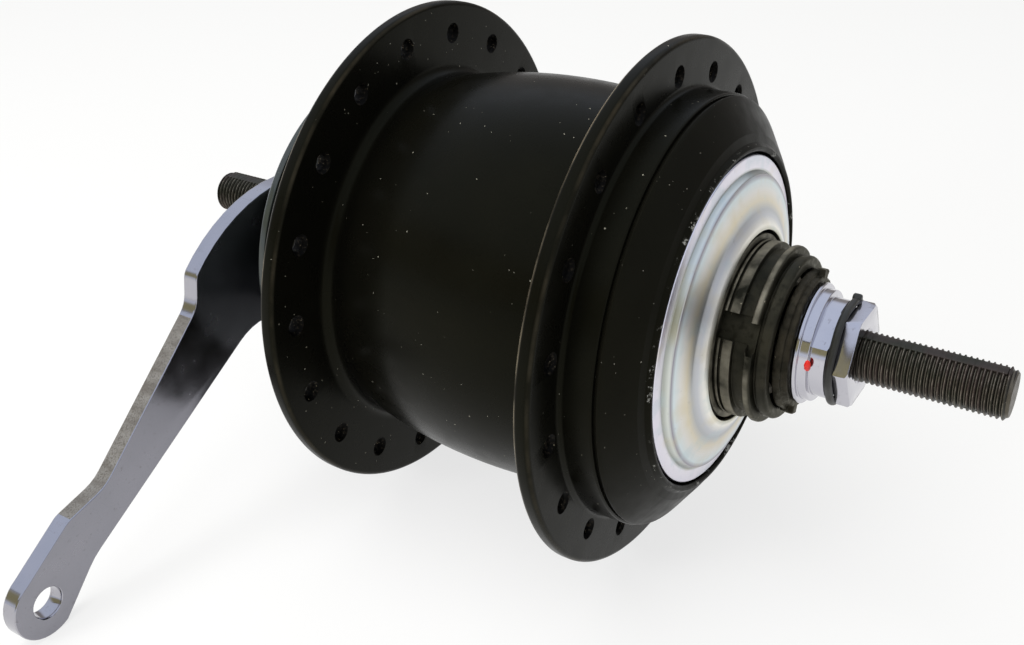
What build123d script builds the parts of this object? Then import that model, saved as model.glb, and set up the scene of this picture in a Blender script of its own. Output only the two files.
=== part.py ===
from build123d import *
import math
import os

# Internal gear hub with a coaster brake, in millimetres.
# The axle lies along Y, with the drive side at -Y and the brake arm at +Y. +Z is up.
# The origin is on the axle, midway between the outer faces of the two lock nuts.
# A station is a distance along the axle from the origin, positive towards the drive side (-Y).
# Angles about the axle are measured in the XZ plane, from +X towards +Z.

# Axle and frame fitting
axle_length = 184.0
over_lock_nuts = 132.0
thread_major = 9.525
axle_flats = 8.9
axle_end_chamfer = 0.8
axle_core_radius = 6.0
axle_flat_angle = 90.0
brake_cone_inner_station = -39.0
right_cone_inner_station = 44.0

# Hub shell
flange_thickness = 3.6
left_flange_station = -30.9
right_flange_station = 24.9
spoke_circle = 92.6
spoke_edge_distance = 6.6
spoke_hole = 2.9
countersink = 4.3
countersink_depth = 0.7
spokes_per_flange = 18
left_spoke_angle = 77.35
right_spoke_angle = left_spoke_angle + 180 / spokes_per_flange
rim_round = 1.55
barrel_left_radius = 37.0
barrel_crown_radius = 41.7
barrel_crown_station = -1.0
barrel_right_radius = 39.6
flange_root_fillet = 2.4
left_boss_radius = 37.0
left_end_station = -46.0
collar_radius = 43.0
collar_root_fillet = 1.1
collar_end_station = 33.0
seam_chamfer = 0.45
gear_bore_radius = 36.5
drum_bore_radius = 31.0
drum_end_station = -6.0
cup_bore_radius = 27.0
cup_bore_depth = 5.2

# Right dust cap and silver shield
cap_radius = 43.1
cap_shoulder_station = 36.6
cap_face_radius = 39.0
cap_face_station = 39.9
lip_outer_radius = 34.7
lip_height = 0.5
lip_inner_radius = 32.9
lip_draft = 0.5
cap_wall = 1.8
cap_spigot_depth = 0.9
seam_depth = 1.0
shield_radius = 32.4
shield_rim_station = 40.0
shield_step_radius = 28.95
shield_step_height = 1.5
shield_dish_radius = 22.35
shield_dish_station = 42.35
shield_bead_radius = 19.9
shield_bead_station = 43.55
shield_hole_radius = 18.75
shield_hole_station = 44.1
shield_thickness = 1.0
shield_draft = 0.2

# Left dust cap
left_cap_rim_radius = 36.4
left_cap_rim_station = -48.0
left_cap_shoulder_radius = 31.6
left_cap_shoulder_station = -52.2
left_cap_face_radius = 25.6
left_cap_face_station = -57.2
left_cap_land_radius = 23.2
left_cap_wall = 1.2
left_cap_rim_width = 1.4

# Brake arm
arm_inner_station = -59.2
arm_thickness = 3.8
arm_reach = 102.3
arm_eye_radius = 7.5
arm_hole_radius = 3.25
arm_head_radius = 15.0
arm_crown_start = 5.5
arm_crown_start_height = 18.9
arm_crown_length = 21.0
arm_crown_height = 23.9
arm_shoulder_length = 36.8
arm_shoulder_height = 22.2
arm_shoulder_round = 1.8
arm_neck_step = 4.1
arm_neck_height = 16.6
arm_neck_round = 5.0
arm_waist_to_eye = 23.0
arm_waist_height = 6.7
arm_waist_round = 9.0
arm_swell_to_eye = 13.3
arm_swell_height = 9.2
arm_swell_round = 4.0
arm_hollow_to_eye = 11.8
arm_hollow_depth = 3.2
arm_belly_length = 31.6
arm_heel_length = 13.7
arm_heel_depth = 15.6
arm_heel_round = 8.0
arm_lower_round = 14.0
brake_boss_radius = 9.0
brake_shoulder = 2.0
brake_cone_hub_radius = 9.0
boss_flats = 14.0

# Lock nuts and right cone
nut_across_flats = 17.0
nut_corner_radius = 9.35
nut_thickness = 2.6
right_nut_angle = 58.3
left_nut_angle = 74.0
nut_spigot_radius = 8.3
cone_end_station = 61.8
cone_wrench_radius = 9.35
cone_wrench_flats = 17.0
cone_wrench_angle = 129.0
cone_wrench_station = 58.9
cone_step_radius = 10.6
cone_step_station = 57.2
cone_collar_radius = 11.6
cone_collar_station = 56.5
cone_land_radius = 10.4
cone_land_station = 53.2
cone_neck_radius = 8.6
o_ring_radius = 9.45
o_ring_nub_radius = 0.75
o_ring_nub_angle = 66.0

# Shift ring round the right cone
shift_ring_radius = 12.9
shift_step_radius = 12.3
shift_foot_radius = 13.5
shift_foot_width = 4.6
shift_lug_radius = 14.0
shift_lug_width = 3.0
shift_ring_start = 53.7
shift_lug_start = 54.2
shift_step_station = 55.1
shift_ring_end = 56.2
shift_lug_angle = 64.0

# Driver
driver_sleeve_radius = 12.0
driver_bore_radius = 9.2
driver_mouth_radius = 13.45
driver_mouth_step = 1.0
driver_start = 25.0
driver_race_radius = 20.3
driver_race_start = 28.6
driver_race_end = 37.4
driver_neck_radius = 18.1
race_chamfer = 1.4
race_root = 2.0
driver_end = 53.3
rib_radius = 17.1
fine_rib_start = 44.2
fine_rib_end = 44.65
fine_groove_radius = 16.3
rib_gap = 0.5
rib_chamfer = 0.45
seat_rib_start = 45.15
seat_rib_end = 46.95
clip_groove_radius = 15.8
outer_rib_start = 49.4
outer_rib_end = 50.75
end_groove_radius = 14.9
end_rib_start = 51.4
end_rib_radius = 15.7
end_rib_chamfer = 0.65
sprocket_slots = 3
slot_width = 5.1
slot_floor_radius = 15.3
slot_angle = 152.1
slot_end_station = 50.9
outer_slot_lead = 1.5
outer_notch_reach = 2.0
outer_notch_width = 1.0

# Ball bearings
ball_diameter = 4.763
ball_clearance = 0.06
left_ball_circle = 19.0
left_ball_station = -43.2
left_balls = 9
right_ball_circle = 11.0
right_ball_station = 47.6
right_balls = 7
driver_ball_circle = 21.6
driver_ball_station = 33.0
driver_balls = 12
track_gap = 1.0
track_shoulder = 2.6
track_lead = 2.0
cage_thickness = 1.3
cage_reach = 2.9
cage_back = 0.2
ring_land = 3.2

# Planetary gears
gear_module = 1.0
pressure_angle = 20.0
tooth_addendum = 0.9
tooth_dedendum = 1.2
tooth_backlash = 0.24
large_sun_teeth = 24
small_sun_teeth = 18
planet_teeth = 15
large_planet_teeth = 21
ring_teeth = 54
planets = 3
first_planet_angle = 90.0
small_sun_start = 3.0
large_sun_start = 14.0
gear_width = 7.0
sun_spacer_radius = 8.4
planet_hub_radius = 5.4
planet_pin_radius = 2.5
carrier_left_start = -1.2
carrier_plate = 3.2
carrier_right_start = 21.9
carrier_radius = 25.8
carrier_post_radius = 3.4
carrier_post_circle = 20.1
carrier_tail_start = -13.4
carrier_tail_radius = 9.0
ring_gear_radius = 33.1
ring_root_wall = 1.6
ring_tooth_start = 13.6
ring_web_start = 25.7
ring_web_end = 28.2

# Roller clutch between ring gear and shell
rollers = 12
roller_radius = 1.9
roller_gap = 0.2
roller_length = 7.0
roller_station = 15.4
ramp_tilt = 6.0
roller_cage_thickness = 1.4
roller_cage_margin = 1.0

# Coaster brake
sleeve_wall = 2.0
sleeve_start = -40.6
sleeve_end = -8.0
shoe_count = 3
shoe_angle = 98.0
shoe_gap = 0.6
shoe_start = -37.6
shoe_end = -14.0
shoe_thickness = 6.6
cam_offset = 2.0
cam_clearance = 0.3
cam_start = -36.6
anchor_plate = 1.4
anchor_angle = 13.0
anchor_inner_radius = 24.0
anchor_gap = 0.4
first_shoe_angle = 90.0

# Clearances
fixed_gap = 0.02
running_gap = 0.05
side_gap = 0.3

# Sizes worked out from those above
half_axle = axle_length / 2
flange_radius = spoke_circle / 2 + spoke_edge_distance
nut_face = over_lock_nuts / 2
thread_radius = thread_major / 2
ball_radius = ball_diameter / 2
arm_outer_station = arm_inner_station - arm_thickness
arm_drop = math.degrees(math.asin((flange_radius - arm_eye_radius) / arm_reach))
cone_bore_radius = thread_radius + fixed_gap
brake_shoulder_radius = brake_boss_radius + brake_shoulder
right_nut_inner = nut_face - nut_thickness
o_ring_section = (right_nut_inner - cone_end_station) / 2 - fixed_gap
sleeve_bore_radius = drum_bore_radius - sleeve_wall
shoe_radius = sleeve_bore_radius - shoe_gap
shoe_inner_radius = shoe_radius - shoe_thickness
planet_circle = gear_module * (large_sun_teeth + planet_teeth) / 2
shaft_run_radius = axle_core_radius + running_gap
roller_circle = gear_bore_radius - roller_gap - roller_radius


def turned(outline):
    """Revolve an outline of (station, radius) points round the axle."""
    points = [(radius, -station) for station, radius in outline]
    return revolve(make_face(Polyline(*points, close=True)), Axis.Y, 360)


def ring(start, end, inner, outer):
    """A plain ring between two stations."""
    return turned([(start, inner), (end, inner), (end, outer), (start, outer)])


def across(face, start, end):
    """Extrude a flat XZ face from one station to another."""
    return extrude(Plane.XZ.offset(start) * face, amount=end - start)


def around(angle, radius, station):
    """A point at an angle and a radius round the axle."""
    turn = math.radians(angle)
    return Vector(radius * math.cos(turn), -station, radius * math.sin(turn))


def turn_copies(shape, count, first=0.0):
    """Copies of a shape spaced evenly round the axle, turned by a first angle."""
    return [Rot(0, -(first + 360 * i / count), 0) * shape for i in range(count)]


def flats(width, angle, start, end, reach):
    """The waste outside two parallel flats, whose normal stands at an angle."""
    block = Rectangle(reach, 2 * reach, align=(Align.MIN, Align.CENTER))
    sides = [Rot(0, 0, angle + turn) * Pos(width / 2, 0) * block for turn in (0, 180)]
    return across(Sketch() + sides, start, end)


def tooth_half_angle(teeth, radius, thinning):
    """Half the angle of an involute tooth at a radius."""
    pitch_radius = gear_module * teeth / 2
    base_radius = pitch_radius * math.cos(math.radians(pressure_angle))
    at_pitch = math.tan(math.radians(pressure_angle)) - math.radians(pressure_angle)
    slope = math.acos(min(1.0, base_radius / radius))
    involute = math.tan(slope) - slope
    return math.pi / (2 * teeth) - thinning / (2 * pitch_radius) + at_pitch - involute


def gear_face(teeth, first_angle):
    """The face of a toothed wheel whose first tooth stands at an angle."""
    return tooth_outline(teeth, first_angle, tooth_addendum, tooth_dedendum, tooth_backlash / 2)


def tooth_outline(teeth, first_angle, addendum, dedendum, thinning):
    """An outline of teeth whose widths at tip and root are those of an involute."""
    pitch_radius = gear_module * teeth / 2
    tip = pitch_radius + addendum * gear_module
    root = pitch_radius - dedendum * gear_module
    points = []
    for i in range(teeth):
        middle = math.radians(first_angle) + 2 * math.pi * i / teeth
        for radius, side in ((root, -1), (tip, -1), (tip, 1), (root, 1)):
            turn = middle + side * tooth_half_angle(teeth, radius, thinning)
            points.append((radius * math.cos(turn), radius * math.sin(turn)))
    return make_face(Polyline(*points, close=True))


def ball_track(circle, station):
    """The groove that a row of balls runs in, with its clearance."""
    return Pos(0, -station, 0) * Rot(90, 0, 0) * Torus(circle, ball_radius + ball_clearance)


def balls(circle, station, count):
    """A row of separate bearing balls."""
    ball = Pos(circle, -station, 0) * Sphere(ball_radius)
    return Compound(children=turn_copies(ball, count))


def ball_cage(circle, station, count, direction):
    """A crown cage that holds the balls of one row apart."""
    ends = sorted((station - direction * cage_back, station + direction * cage_reach))
    inner = circle - cage_thickness / 2
    cage = ring(ends[0], ends[1], inner, inner + cage_thickness)
    drill = Cylinder(ball_radius + ball_clearance, 4 * cage_thickness)
    pocket = Pos(circle, -station, 0) * Rot(0, 90, 0) * drill
    return cage - turn_copies(pocket, count)


def hub_shell():
    """One-piece aluminium shell: barrel, two spoke flanges, collar and bores."""
    left_out = left_flange_station - flange_thickness / 2
    left_in = left_flange_station + flange_thickness / 2
    right_in = right_flange_station - flange_thickness / 2
    right_out = right_flange_station + flange_thickness / 2
    crown = (barrel_crown_radius, -barrel_crown_station)
    barrel = ThreePointArc((barrel_left_radius, -left_in), crown, (barrel_right_radius, -right_in))
    outside = Polyline(
        (barrel_right_radius, -right_in),
        (flange_radius, -right_in),
        (flange_radius, -right_out),
        (collar_radius, -right_out),
        (collar_radius, -collar_end_station),
        (gear_bore_radius, -collar_end_station),
        (gear_bore_radius, -drum_end_station),
        (drum_bore_radius, -drum_end_station),
        (drum_bore_radius, -(left_end_station + cup_bore_depth)),
        (cup_bore_radius, -(left_end_station + cup_bore_depth)),
        (cup_bore_radius, -left_end_station),
        (left_boss_radius, -left_end_station),
        (left_boss_radius, -left_out),
        (flange_radius, -left_out),
        (flange_radius, -left_in),
        (barrel_left_radius, -left_in),
    )
    section = make_face([barrel, outside])
    corners = section.vertices()

    def corner(radius, station):
        return corners.sort_by_distance((radius, -station, 0))[0]

    rims = [corner(flange_radius, station) for station in (left_out, left_in, right_in, right_out)]
    roots = [corner(barrel_left_radius, left_in), corner(barrel_right_radius, right_in)]
    section = fillet(rims, rim_round)
    section = fillet([section.vertices().sort_by_distance(v.center())[0] for v in roots], flange_root_fillet)
    collar_root = section.vertices().sort_by_distance((collar_radius, -right_out, 0))[0]
    section = fillet(collar_root, collar_root_fillet)
    collar_end = section.vertices().sort_by_distance((collar_radius, -collar_end_station, 0))[0]
    section = chamfer(collar_end, seam_chamfer)
    shell = revolve(section, Axis.Y, 360)
    left_hole = spoke_drill(left_flange_station)
    right_hole = spoke_drill(right_flange_station)
    shell -= turn_copies(left_hole, spokes_per_flange, left_spoke_angle)
    return shell - turn_copies(right_hole, spokes_per_flange, right_spoke_angle)


def spoke_drill(station):
    """The waste of one spoke hole, countersunk on both sides of its flange."""
    face = flange_thickness / 2
    bore = spoke_hole / 2
    wide = countersink / 2
    points = [
        (0, -face - 1),
        (wide, -face - 1),
        (wide, -face),
        (bore, -face + countersink_depth),
        (bore, face - countersink_depth),
        (wide, face),
        (wide, face + 1),
        (0, face + 1),
    ]
    drill = revolve(make_face(Polyline(*points, close=True)), Axis.Y, 360)
    return Pos(spoke_circle / 2, -station, 0) * drill


def right_dust_cap():
    """Black ring that closes the shell's right end round the silver shield."""
    back = collar_end_station
    spigot = gear_bore_radius - fixed_gap
    outline = [
        (back, spigot),
        (back - cap_spigot_depth, spigot),
        (back - cap_spigot_depth, spigot - cap_wall),
        (cap_face_station - cap_wall, spigot - cap_wall),
        (cap_face_station - cap_wall, lip_inner_radius),
        (cap_face_station, lip_inner_radius),
        (cap_face_station + lip_height, lip_inner_radius + lip_draft),
        (cap_face_station + lip_height, lip_outer_radius - lip_draft),
        (cap_face_station, lip_outer_radius),
        (cap_face_station, cap_face_radius),
        (cap_shoulder_station, cap_radius),
        (back + seam_chamfer, cap_radius),
        (back + seam_chamfer, cap_radius - seam_depth),
        (back, cap_radius - seam_depth),
    ]
    return turned(outline)


def dust_shield():
    """Zinc-plated pressed disc with its stepped face, and the skirt that grips the ball ring."""
    skirt = shield_radius - shield_thickness
    inner_step = shield_step_radius - shield_draft - shield_thickness
    outline = [
        (shield_rim_station, shield_radius),
        (shield_rim_station, shield_step_radius),
        (shield_rim_station + shield_step_height, shield_step_radius - shield_draft),
        (shield_dish_station, shield_dish_radius),
        (shield_bead_station, shield_bead_radius),
        (shield_hole_station, shield_hole_radius),
        (shield_hole_station - shield_thickness, shield_hole_radius),
        (shield_bead_station - shield_thickness, shield_bead_radius + shield_draft),
        (shield_dish_station - shield_thickness, shield_dish_radius),
        (shield_rim_station + shield_step_height - shield_thickness, inner_step),
        (shield_rim_station - shield_thickness, inner_step),
        (shield_rim_station - shield_thickness, skirt),
        (driver_race_end, skirt),
        (driver_race_end, shield_radius),
    ]
    return turned(outline)


def right_ball_ring():
    """Steel ring screwed into the shell, with the outer track of the driver's balls."""
    nose = shield_radius - shield_thickness - fixed_gap
    inner = driver_ball_circle + track_gap
    outline = [
        (ring_web_end + side_gap, inner + ring_land),
        (ring_web_end + side_gap, gear_bore_radius - fixed_gap),
        (collar_end_station - cap_spigot_depth - fixed_gap, gear_bore_radius - fixed_gap),
        (collar_end_station - cap_spigot_depth - fixed_gap, nose),
        (shield_rim_station - shield_thickness - fixed_gap, nose),
        (shield_rim_station - shield_thickness - fixed_gap, nose - track_shoulder),
        (driver_race_end - track_gap, inner),
        (driver_ball_station - track_shoulder, inner),
    ]
    return turned(outline) - ball_track(driver_ball_circle, driver_ball_station)


def left_bearing_cup():
    """Steel cup pressed into the shell's left end, with the left balls' outer track."""
    outer = cup_bore_radius - fixed_gap
    inner = left_ball_circle + track_gap
    cup = ring(left_end_station, left_end_station + cup_bore_depth, inner, outer)
    return cup - ball_track(left_ball_circle, left_ball_station)


def brake_drum_sleeve():
    """Hardened sleeve in the shell that the brake shoes rub on."""
    return ring(sleeve_start, sleeve_end, sleeve_bore_radius, drum_bore_radius - fixed_gap)


def axle():
    """Steel axle, threaded at its ends, with flats for the frame and a thicker core."""
    end = half_axle
    outline = [
        (-end, 0),
        (-end, thread_radius - axle_end_chamfer),
        (-end + axle_end_chamfer, thread_radius),
        (brake_cone_inner_station, thread_radius),
        (brake_cone_inner_station, axle_core_radius),
        (right_cone_inner_station, axle_core_radius),
        (right_cone_inner_station, thread_radius),
        (end - axle_end_chamfer, thread_radius),
        (end, thread_radius - axle_end_chamfer),
        (end, 0),
    ]
    shaft = turned(outline)
    shaft -= flats(axle_flats, axle_flat_angle, nut_face, end, thread_major)
    return shaft - flats(axle_flats, axle_flat_angle, -end, -nut_face, thread_major)


def lock_nut(inner_station, outer_station, angle):
    """Hexagon lock nut whose corners are bevelled at its outer face."""
    start, end = sorted((inner_station, outer_station))
    corner = nut_across_flats / math.sqrt(3)
    bevel_station = outer_station + math.copysign(corner - nut_corner_radius, inner_station - outer_station)
    blank = across(Rot(0, 0, angle) * RegularPolygon(corner, 6), start, end)
    bevelled = turned([
        (inner_station, 0),
        (inner_station, corner),
        (bevel_station, corner),
        (outer_station, nut_corner_radius),
        (outer_station, 0),
    ])
    return (blank & bevelled) - across(Circle(cone_bore_radius), start, end)


def right_lock_nut():
    """Right lock nut, with the spigot that the rubber ring sits on."""
    spigot = ring(cone_end_station, right_nut_inner, cone_bore_radius, nut_spigot_radius)
    return lock_nut(right_nut_inner, nut_face, right_nut_angle) + spigot


def left_lock_nut():
    """Left lock nut, which clamps the brake arm on the brake cone."""
    return lock_nut(arm_outer_station, -nut_face, left_nut_angle)


def right_cone():
    """Chromed right cone: ball track, land for the shift ring, steps and wrench flats."""
    track_edge = right_ball_circle - track_gap
    outline = [
        (right_cone_inner_station, cone_bore_radius),
        (right_cone_inner_station, cone_neck_radius),
        (right_ball_station - track_lead, cone_neck_radius),
        (right_ball_station, track_edge),
        (cone_land_station, track_edge),
        (cone_land_station, cone_land_radius),
        (cone_collar_station, cone_land_radius),
        (cone_collar_station, cone_collar_radius),
        (cone_step_station, cone_collar_radius),
        (cone_step_station, cone_step_radius),
        (cone_wrench_station, cone_step_radius),
        (cone_wrench_station, cone_wrench_radius),
        (cone_end_station, cone_wrench_radius),
        (cone_end_station, cone_bore_radius),
    ]
    cone = turned(outline) - ball_track(right_ball_circle, right_ball_station)
    reach = cone_collar_radius
    return cone - flats(cone_wrench_flats, cone_wrench_angle, cone_wrench_station, cone_end_station, reach)


def cone_o_ring():
    """Rubber ring between cone and lock nut, with its pull nub."""
    middle = (cone_end_station + right_nut_inner) / 2
    torus = Pos(0, -middle, 0) * Rot(90, 0, 0) * Torus(o_ring_radius, o_ring_section)
    place = around(o_ring_nub_angle, o_ring_radius + o_ring_section, middle)
    nub = Pos(place) * Rot(90, 0, 0) * Cylinder(o_ring_nub_radius, 2 * o_ring_section)
    return torus + nub


def brake_cone():
    """Left cone: ball track, splined boss for the arm and the anchors between the shoes."""
    track_edge = left_ball_circle - track_gap
    plate_end = shoe_start - side_gap
    plate_start = plate_end - anchor_plate
    anchor_outer = shoe_radius - anchor_gap
    outline = [
        (arm_outer_station, cone_bore_radius),
        (arm_outer_station, brake_boss_radius),
        (arm_inner_station, brake_boss_radius),
        (arm_inner_station, brake_shoulder_radius),
        (left_cap_face_station, brake_shoulder_radius),
        (left_ball_station - track_shoulder, brake_shoulder_radius + brake_shoulder),
        (left_ball_station - track_shoulder, track_edge),
        (plate_start, track_edge),
        (plate_start, anchor_outer),
        (plate_end, anchor_outer),
        (plate_end, brake_cone_hub_radius),
        (brake_cone_inner_station, brake_cone_hub_radius),
        (brake_cone_inner_station, cone_bore_radius),
    ]
    body = turned(outline) - ball_track(left_ball_circle, left_ball_station)
    body -= flats(boss_flats, arm_drop, arm_outer_station, arm_inner_station, brake_boss_radius * 2)
    half = anchor_angle / 2
    blank = ring(plate_end, shoe_end, anchor_inner_radius, anchor_outer)
    first = first_shoe_angle + 180 / shoe_count
    anchor = blank & wedge(0, half)
    return body + turn_copies(anchor, shoe_count, first)


def wedge(middle, half):
    """A wide wedge of space about a radial direction, along the whole axle."""
    reach = 2 * flange_radius
    low = math.radians(middle - half)
    high = math.radians(middle + half)
    points = [
        (0, 0),
        (reach * math.cos(low), reach * math.sin(low)),
        (reach * math.cos(high), reach * math.sin(high)),
    ]
    return across(make_face(Polyline(*points, close=True)), -half_axle, half_axle)


def brake_shoe(index):
    """One cast brake shoe, with the eccentric inner face that its cam lobe lifts."""
    angle = first_shoe_angle + 360 * index / shoe_count
    outer = across(Circle(shoe_radius), shoe_start, shoe_end)
    lobe_centre = Rot(0, -angle, 0) * Pos(0, 0, -cam_offset)
    lobe = lobe_centre * across(Circle(shoe_inner_radius), shoe_start, shoe_end)
    return (outer - lobe) & wedge(angle, shoe_angle / 2)


def brake_cam():
    """Three-lobed cam that turns back on the axle and lifts the shoes."""
    start = cam_start
    end = shoe_end - side_gap
    lobes = []
    for i in range(shoe_count):
        angle = first_shoe_angle + 360 * i / shoe_count
        place = Rot(0, -angle, 0) * Pos(0, 0, -cam_offset)
        lobe = place * across(Circle(shoe_inner_radius - cam_clearance), start, end)
        lobes.append(lobe & wedge(angle, 180 / shoe_count))
    cam = lobes[0] + lobes[1] + lobes[2]
    return cam - across(Circle(shaft_run_radius), start, end)


def head_tangent(point, side):
    """Where a line from a point of the arm touches its head's circle, on one side of the point."""
    along, across_arm = point
    open_angle = math.acos(arm_head_radius / math.hypot(along, across_arm))
    turn = math.atan2(across_arm, along) + side * open_angle
    return (arm_head_radius * math.cos(turn), arm_head_radius * math.sin(turn))


def brake_arm():
    """Pressed steel arm: a crowned head on the brake cone, a bent waist and a round eye."""
    head = Circle(arm_head_radius)
    eye = Pos(arm_reach, 0) * Circle(arm_eye_radius)
    crown_start = (arm_crown_start, arm_crown_start_height)
    shoulder = (arm_shoulder_length, arm_shoulder_height)
    heel = (arm_heel_length, -arm_heel_depth)
    rounded = [
        (shoulder, arm_shoulder_round),
        ((arm_shoulder_length + arm_neck_step, arm_neck_height), arm_neck_round),
        ((arm_reach - arm_waist_to_eye, arm_waist_height), arm_waist_round),
        ((arm_reach - arm_swell_to_eye, arm_swell_height), arm_swell_round),
        ((arm_reach - arm_hollow_to_eye, -arm_hollow_depth), arm_lower_round),
        ((arm_belly_length, 0), arm_lower_round),
        (heel, arm_heel_round),
    ]
    corners = [point for point, _ in rounded]
    eye_sides = [(arm_reach, arm_eye_radius), (arm_reach, -arm_eye_radius)]
    head_sides = [head_tangent(heel, -1), head_tangent(crown_start, 1)]
    edge = Polyline(*corners[:4], *eye_sides, *corners[4:], *head_sides, crown_start)
    crown = ThreePointArc(crown_start, (arm_crown_length, arm_crown_height), shoulder)
    blade = make_face([crown, edge])
    for point, rounding in rounded:
        sharp = blade.vertices().sort_by_distance(point)[0]
        blade = fillet(sharp, rounding)
    outline = head + eye + blade
    outline -= Pos(arm_reach, 0) * Circle(arm_hole_radius)
    gap = fixed_gap
    boss = Circle(brake_boss_radius + gap) & Rectangle(boss_flats + 2 * gap, 4 * brake_boss_radius)
    outline -= boss
    along = Vector(-math.cos(math.radians(arm_drop)), 0, -math.sin(math.radians(arm_drop)))
    plane = Plane(origin=(0, -arm_inner_station, 0), x_dir=along, z_dir=(0, 1, 0))
    return extrude(plane * outline, amount=arm_thickness)


def left_dust_cap():
    """Pressed steel cover between the arm and the shell's left end."""
    wall = left_cap_wall
    bore = brake_shoulder_radius + fixed_gap
    rim_end = left_cap_rim_station + left_cap_rim_width
    outline = [
        (arm_inner_station, bore),
        (arm_inner_station, left_cap_land_radius),
        (left_cap_face_station, left_cap_face_radius),
        (left_cap_shoulder_station, left_cap_shoulder_radius),
        (left_cap_rim_station, left_cap_rim_radius),
        (rim_end, left_cap_rim_radius),
        (rim_end, left_cap_rim_radius - wall),
        (left_cap_rim_station, left_cap_rim_radius - 1.5 * wall),
        (left_cap_shoulder_station + wall, left_cap_shoulder_radius - wall),
        (left_cap_face_station + wall, left_cap_face_radius - wall),
        (arm_inner_station + wall, left_cap_land_radius - wall),
        (arm_inner_station + wall, bore),
    ]
    return turned(outline)


def driver():
    """Steel driver: sleeve, ball races, ribbed nose and the slots for a sprocket's lugs."""
    outline = [
        (driver_start, driver_bore_radius),
        (driver_start, driver_sleeve_radius),
        (driver_race_start, driver_sleeve_radius),
        (driver_race_start, driver_race_radius - race_root),
        (driver_race_start + race_chamfer, driver_race_radius),
        (driver_race_end, driver_race_radius),
        (driver_race_end + race_chamfer, driver_neck_radius),
        (fine_rib_start - rib_gap, driver_neck_radius),
        (fine_rib_start - rib_gap, fine_groove_radius),
        (fine_rib_start, fine_groove_radius),
        (fine_rib_start, rib_radius),
        (fine_rib_end, rib_radius),
        (fine_rib_end, fine_groove_radius),
        (seat_rib_start, fine_groove_radius),
        (seat_rib_start, rib_radius),
        (seat_rib_end, rib_radius),
        (seat_rib_end, clip_groove_radius),
        (outer_rib_start, clip_groove_radius),
        (outer_rib_start, rib_radius),
        (outer_rib_end - rib_chamfer, rib_radius),
        (outer_rib_end, rib_radius - rib_chamfer),
        (outer_rib_end, end_groove_radius),
        (end_rib_start, end_groove_radius),
        (end_rib_start, end_rib_radius),
        (driver_end - end_rib_chamfer, end_rib_radius),
        (driver_end, end_rib_radius - end_rib_chamfer),
        (driver_end, driver_mouth_radius),
        (right_ball_station, driver_mouth_radius - driver_mouth_step),
        (right_ball_station - track_lead, driver_bore_radius),
    ]
    body = turned(outline)
    body -= ball_track(driver_ball_circle, driver_ball_station)
    body -= ball_track(right_ball_circle, right_ball_station)
    return body - turn_copies(sprocket_slot(), sprocket_slots, slot_angle)


def sprocket_slot():
    """The waste of one slot, which ends in the outer rib with a notch to prise the clip from."""
    blank = Pos(slot_floor_radius, 0) * Rectangle(rib_radius, slot_width, align=(Align.MIN, Align.CENTER))
    slot = across(blank, fine_rib_start - rib_gap, outer_rib_start)
    side = slot_width / 2
    notch_end = side + outer_notch_reach
    notch_middle = (outer_rib_start + outer_rib_end) / 2
    points = [
        (-outer_slot_lead, outer_rib_start),
        (side, outer_rib_start),
        (notch_end, notch_middle - outer_notch_width / 2),
        (notch_end, notch_middle + outer_notch_width / 2),
        (side, slot_end_station),
        (-outer_slot_lead, slot_end_station),
    ]
    floor = Plane(origin=(slot_floor_radius, 0, 0), x_dir=(0, 0, 1), z_dir=(1, 0, 0))
    return slot + extrude(floor * make_face(Polyline(*points, close=True)), amount=rib_radius)


def planet_carrier():
    """Carrier that the driver turns: two plates joined by posts between the planets."""
    left_end = carrier_left_start + carrier_plate
    plates = ring(carrier_left_start, left_end, shaft_run_radius, carrier_radius)
    plates += ring(carrier_tail_start, carrier_left_start, shaft_run_radius, carrier_tail_radius)
    plates += ring(carrier_right_start, driver_start, driver_bore_radius, carrier_radius)
    between = first_planet_angle + 180 / planets
    post = Pos(carrier_post_circle, 0) * Circle(carrier_post_radius)
    plates += turn_copies(across(post, left_end, carrier_right_start), planets, between)
    pin = Pos(planet_circle, 0) * Circle(planet_pin_radius + fixed_gap)
    holes = across(pin, carrier_left_start, driver_start)
    return plates - turn_copies(holes, planets, first_planet_angle)


def planet_pins():
    """Three hardened pins across the carrier, one for each planet."""
    face = Pos(planet_circle, 0) * Circle(planet_pin_radius)
    pin = across(face, carrier_left_start, driver_start)
    return Compound(children=turn_copies(pin, planets, first_planet_angle))


def planet_gear(index):
    """Stepped planet gear: a small and a large row of teeth on one hub."""
    small = gear_face(planet_teeth, 180 + 180 / planet_teeth)
    large = gear_face(large_planet_teeth, 180 + 180 / large_planet_teeth)
    hub_start = carrier_left_start + carrier_plate + side_gap
    hub_end = carrier_right_start - side_gap
    gear = across(small, large_sun_start, large_sun_start + gear_width)
    gear += across(large, small_sun_start, small_sun_start + gear_width)
    gear += across(Circle(planet_hub_radius), hub_start, hub_end)
    gear -= across(Circle(planet_pin_radius + running_gap), hub_start, hub_end)
    angle = first_planet_angle + 360 * index / planets
    return Rot(0, -angle, 0) * Pos(planet_circle, 0, 0) * gear


def sun_gear(teeth, start, bore):
    """A sun gear with a tooth towards each planet."""
    return across(gear_face(teeth, first_planet_angle) - Circle(bore), start, start + gear_width)


def sun_spacer():
    """Plain spacer between the two sun gears."""
    start = small_sun_start + gear_width + side_gap
    return ring(start, large_sun_start, axle_core_radius + fixed_gap, sun_spacer_radius)


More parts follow.
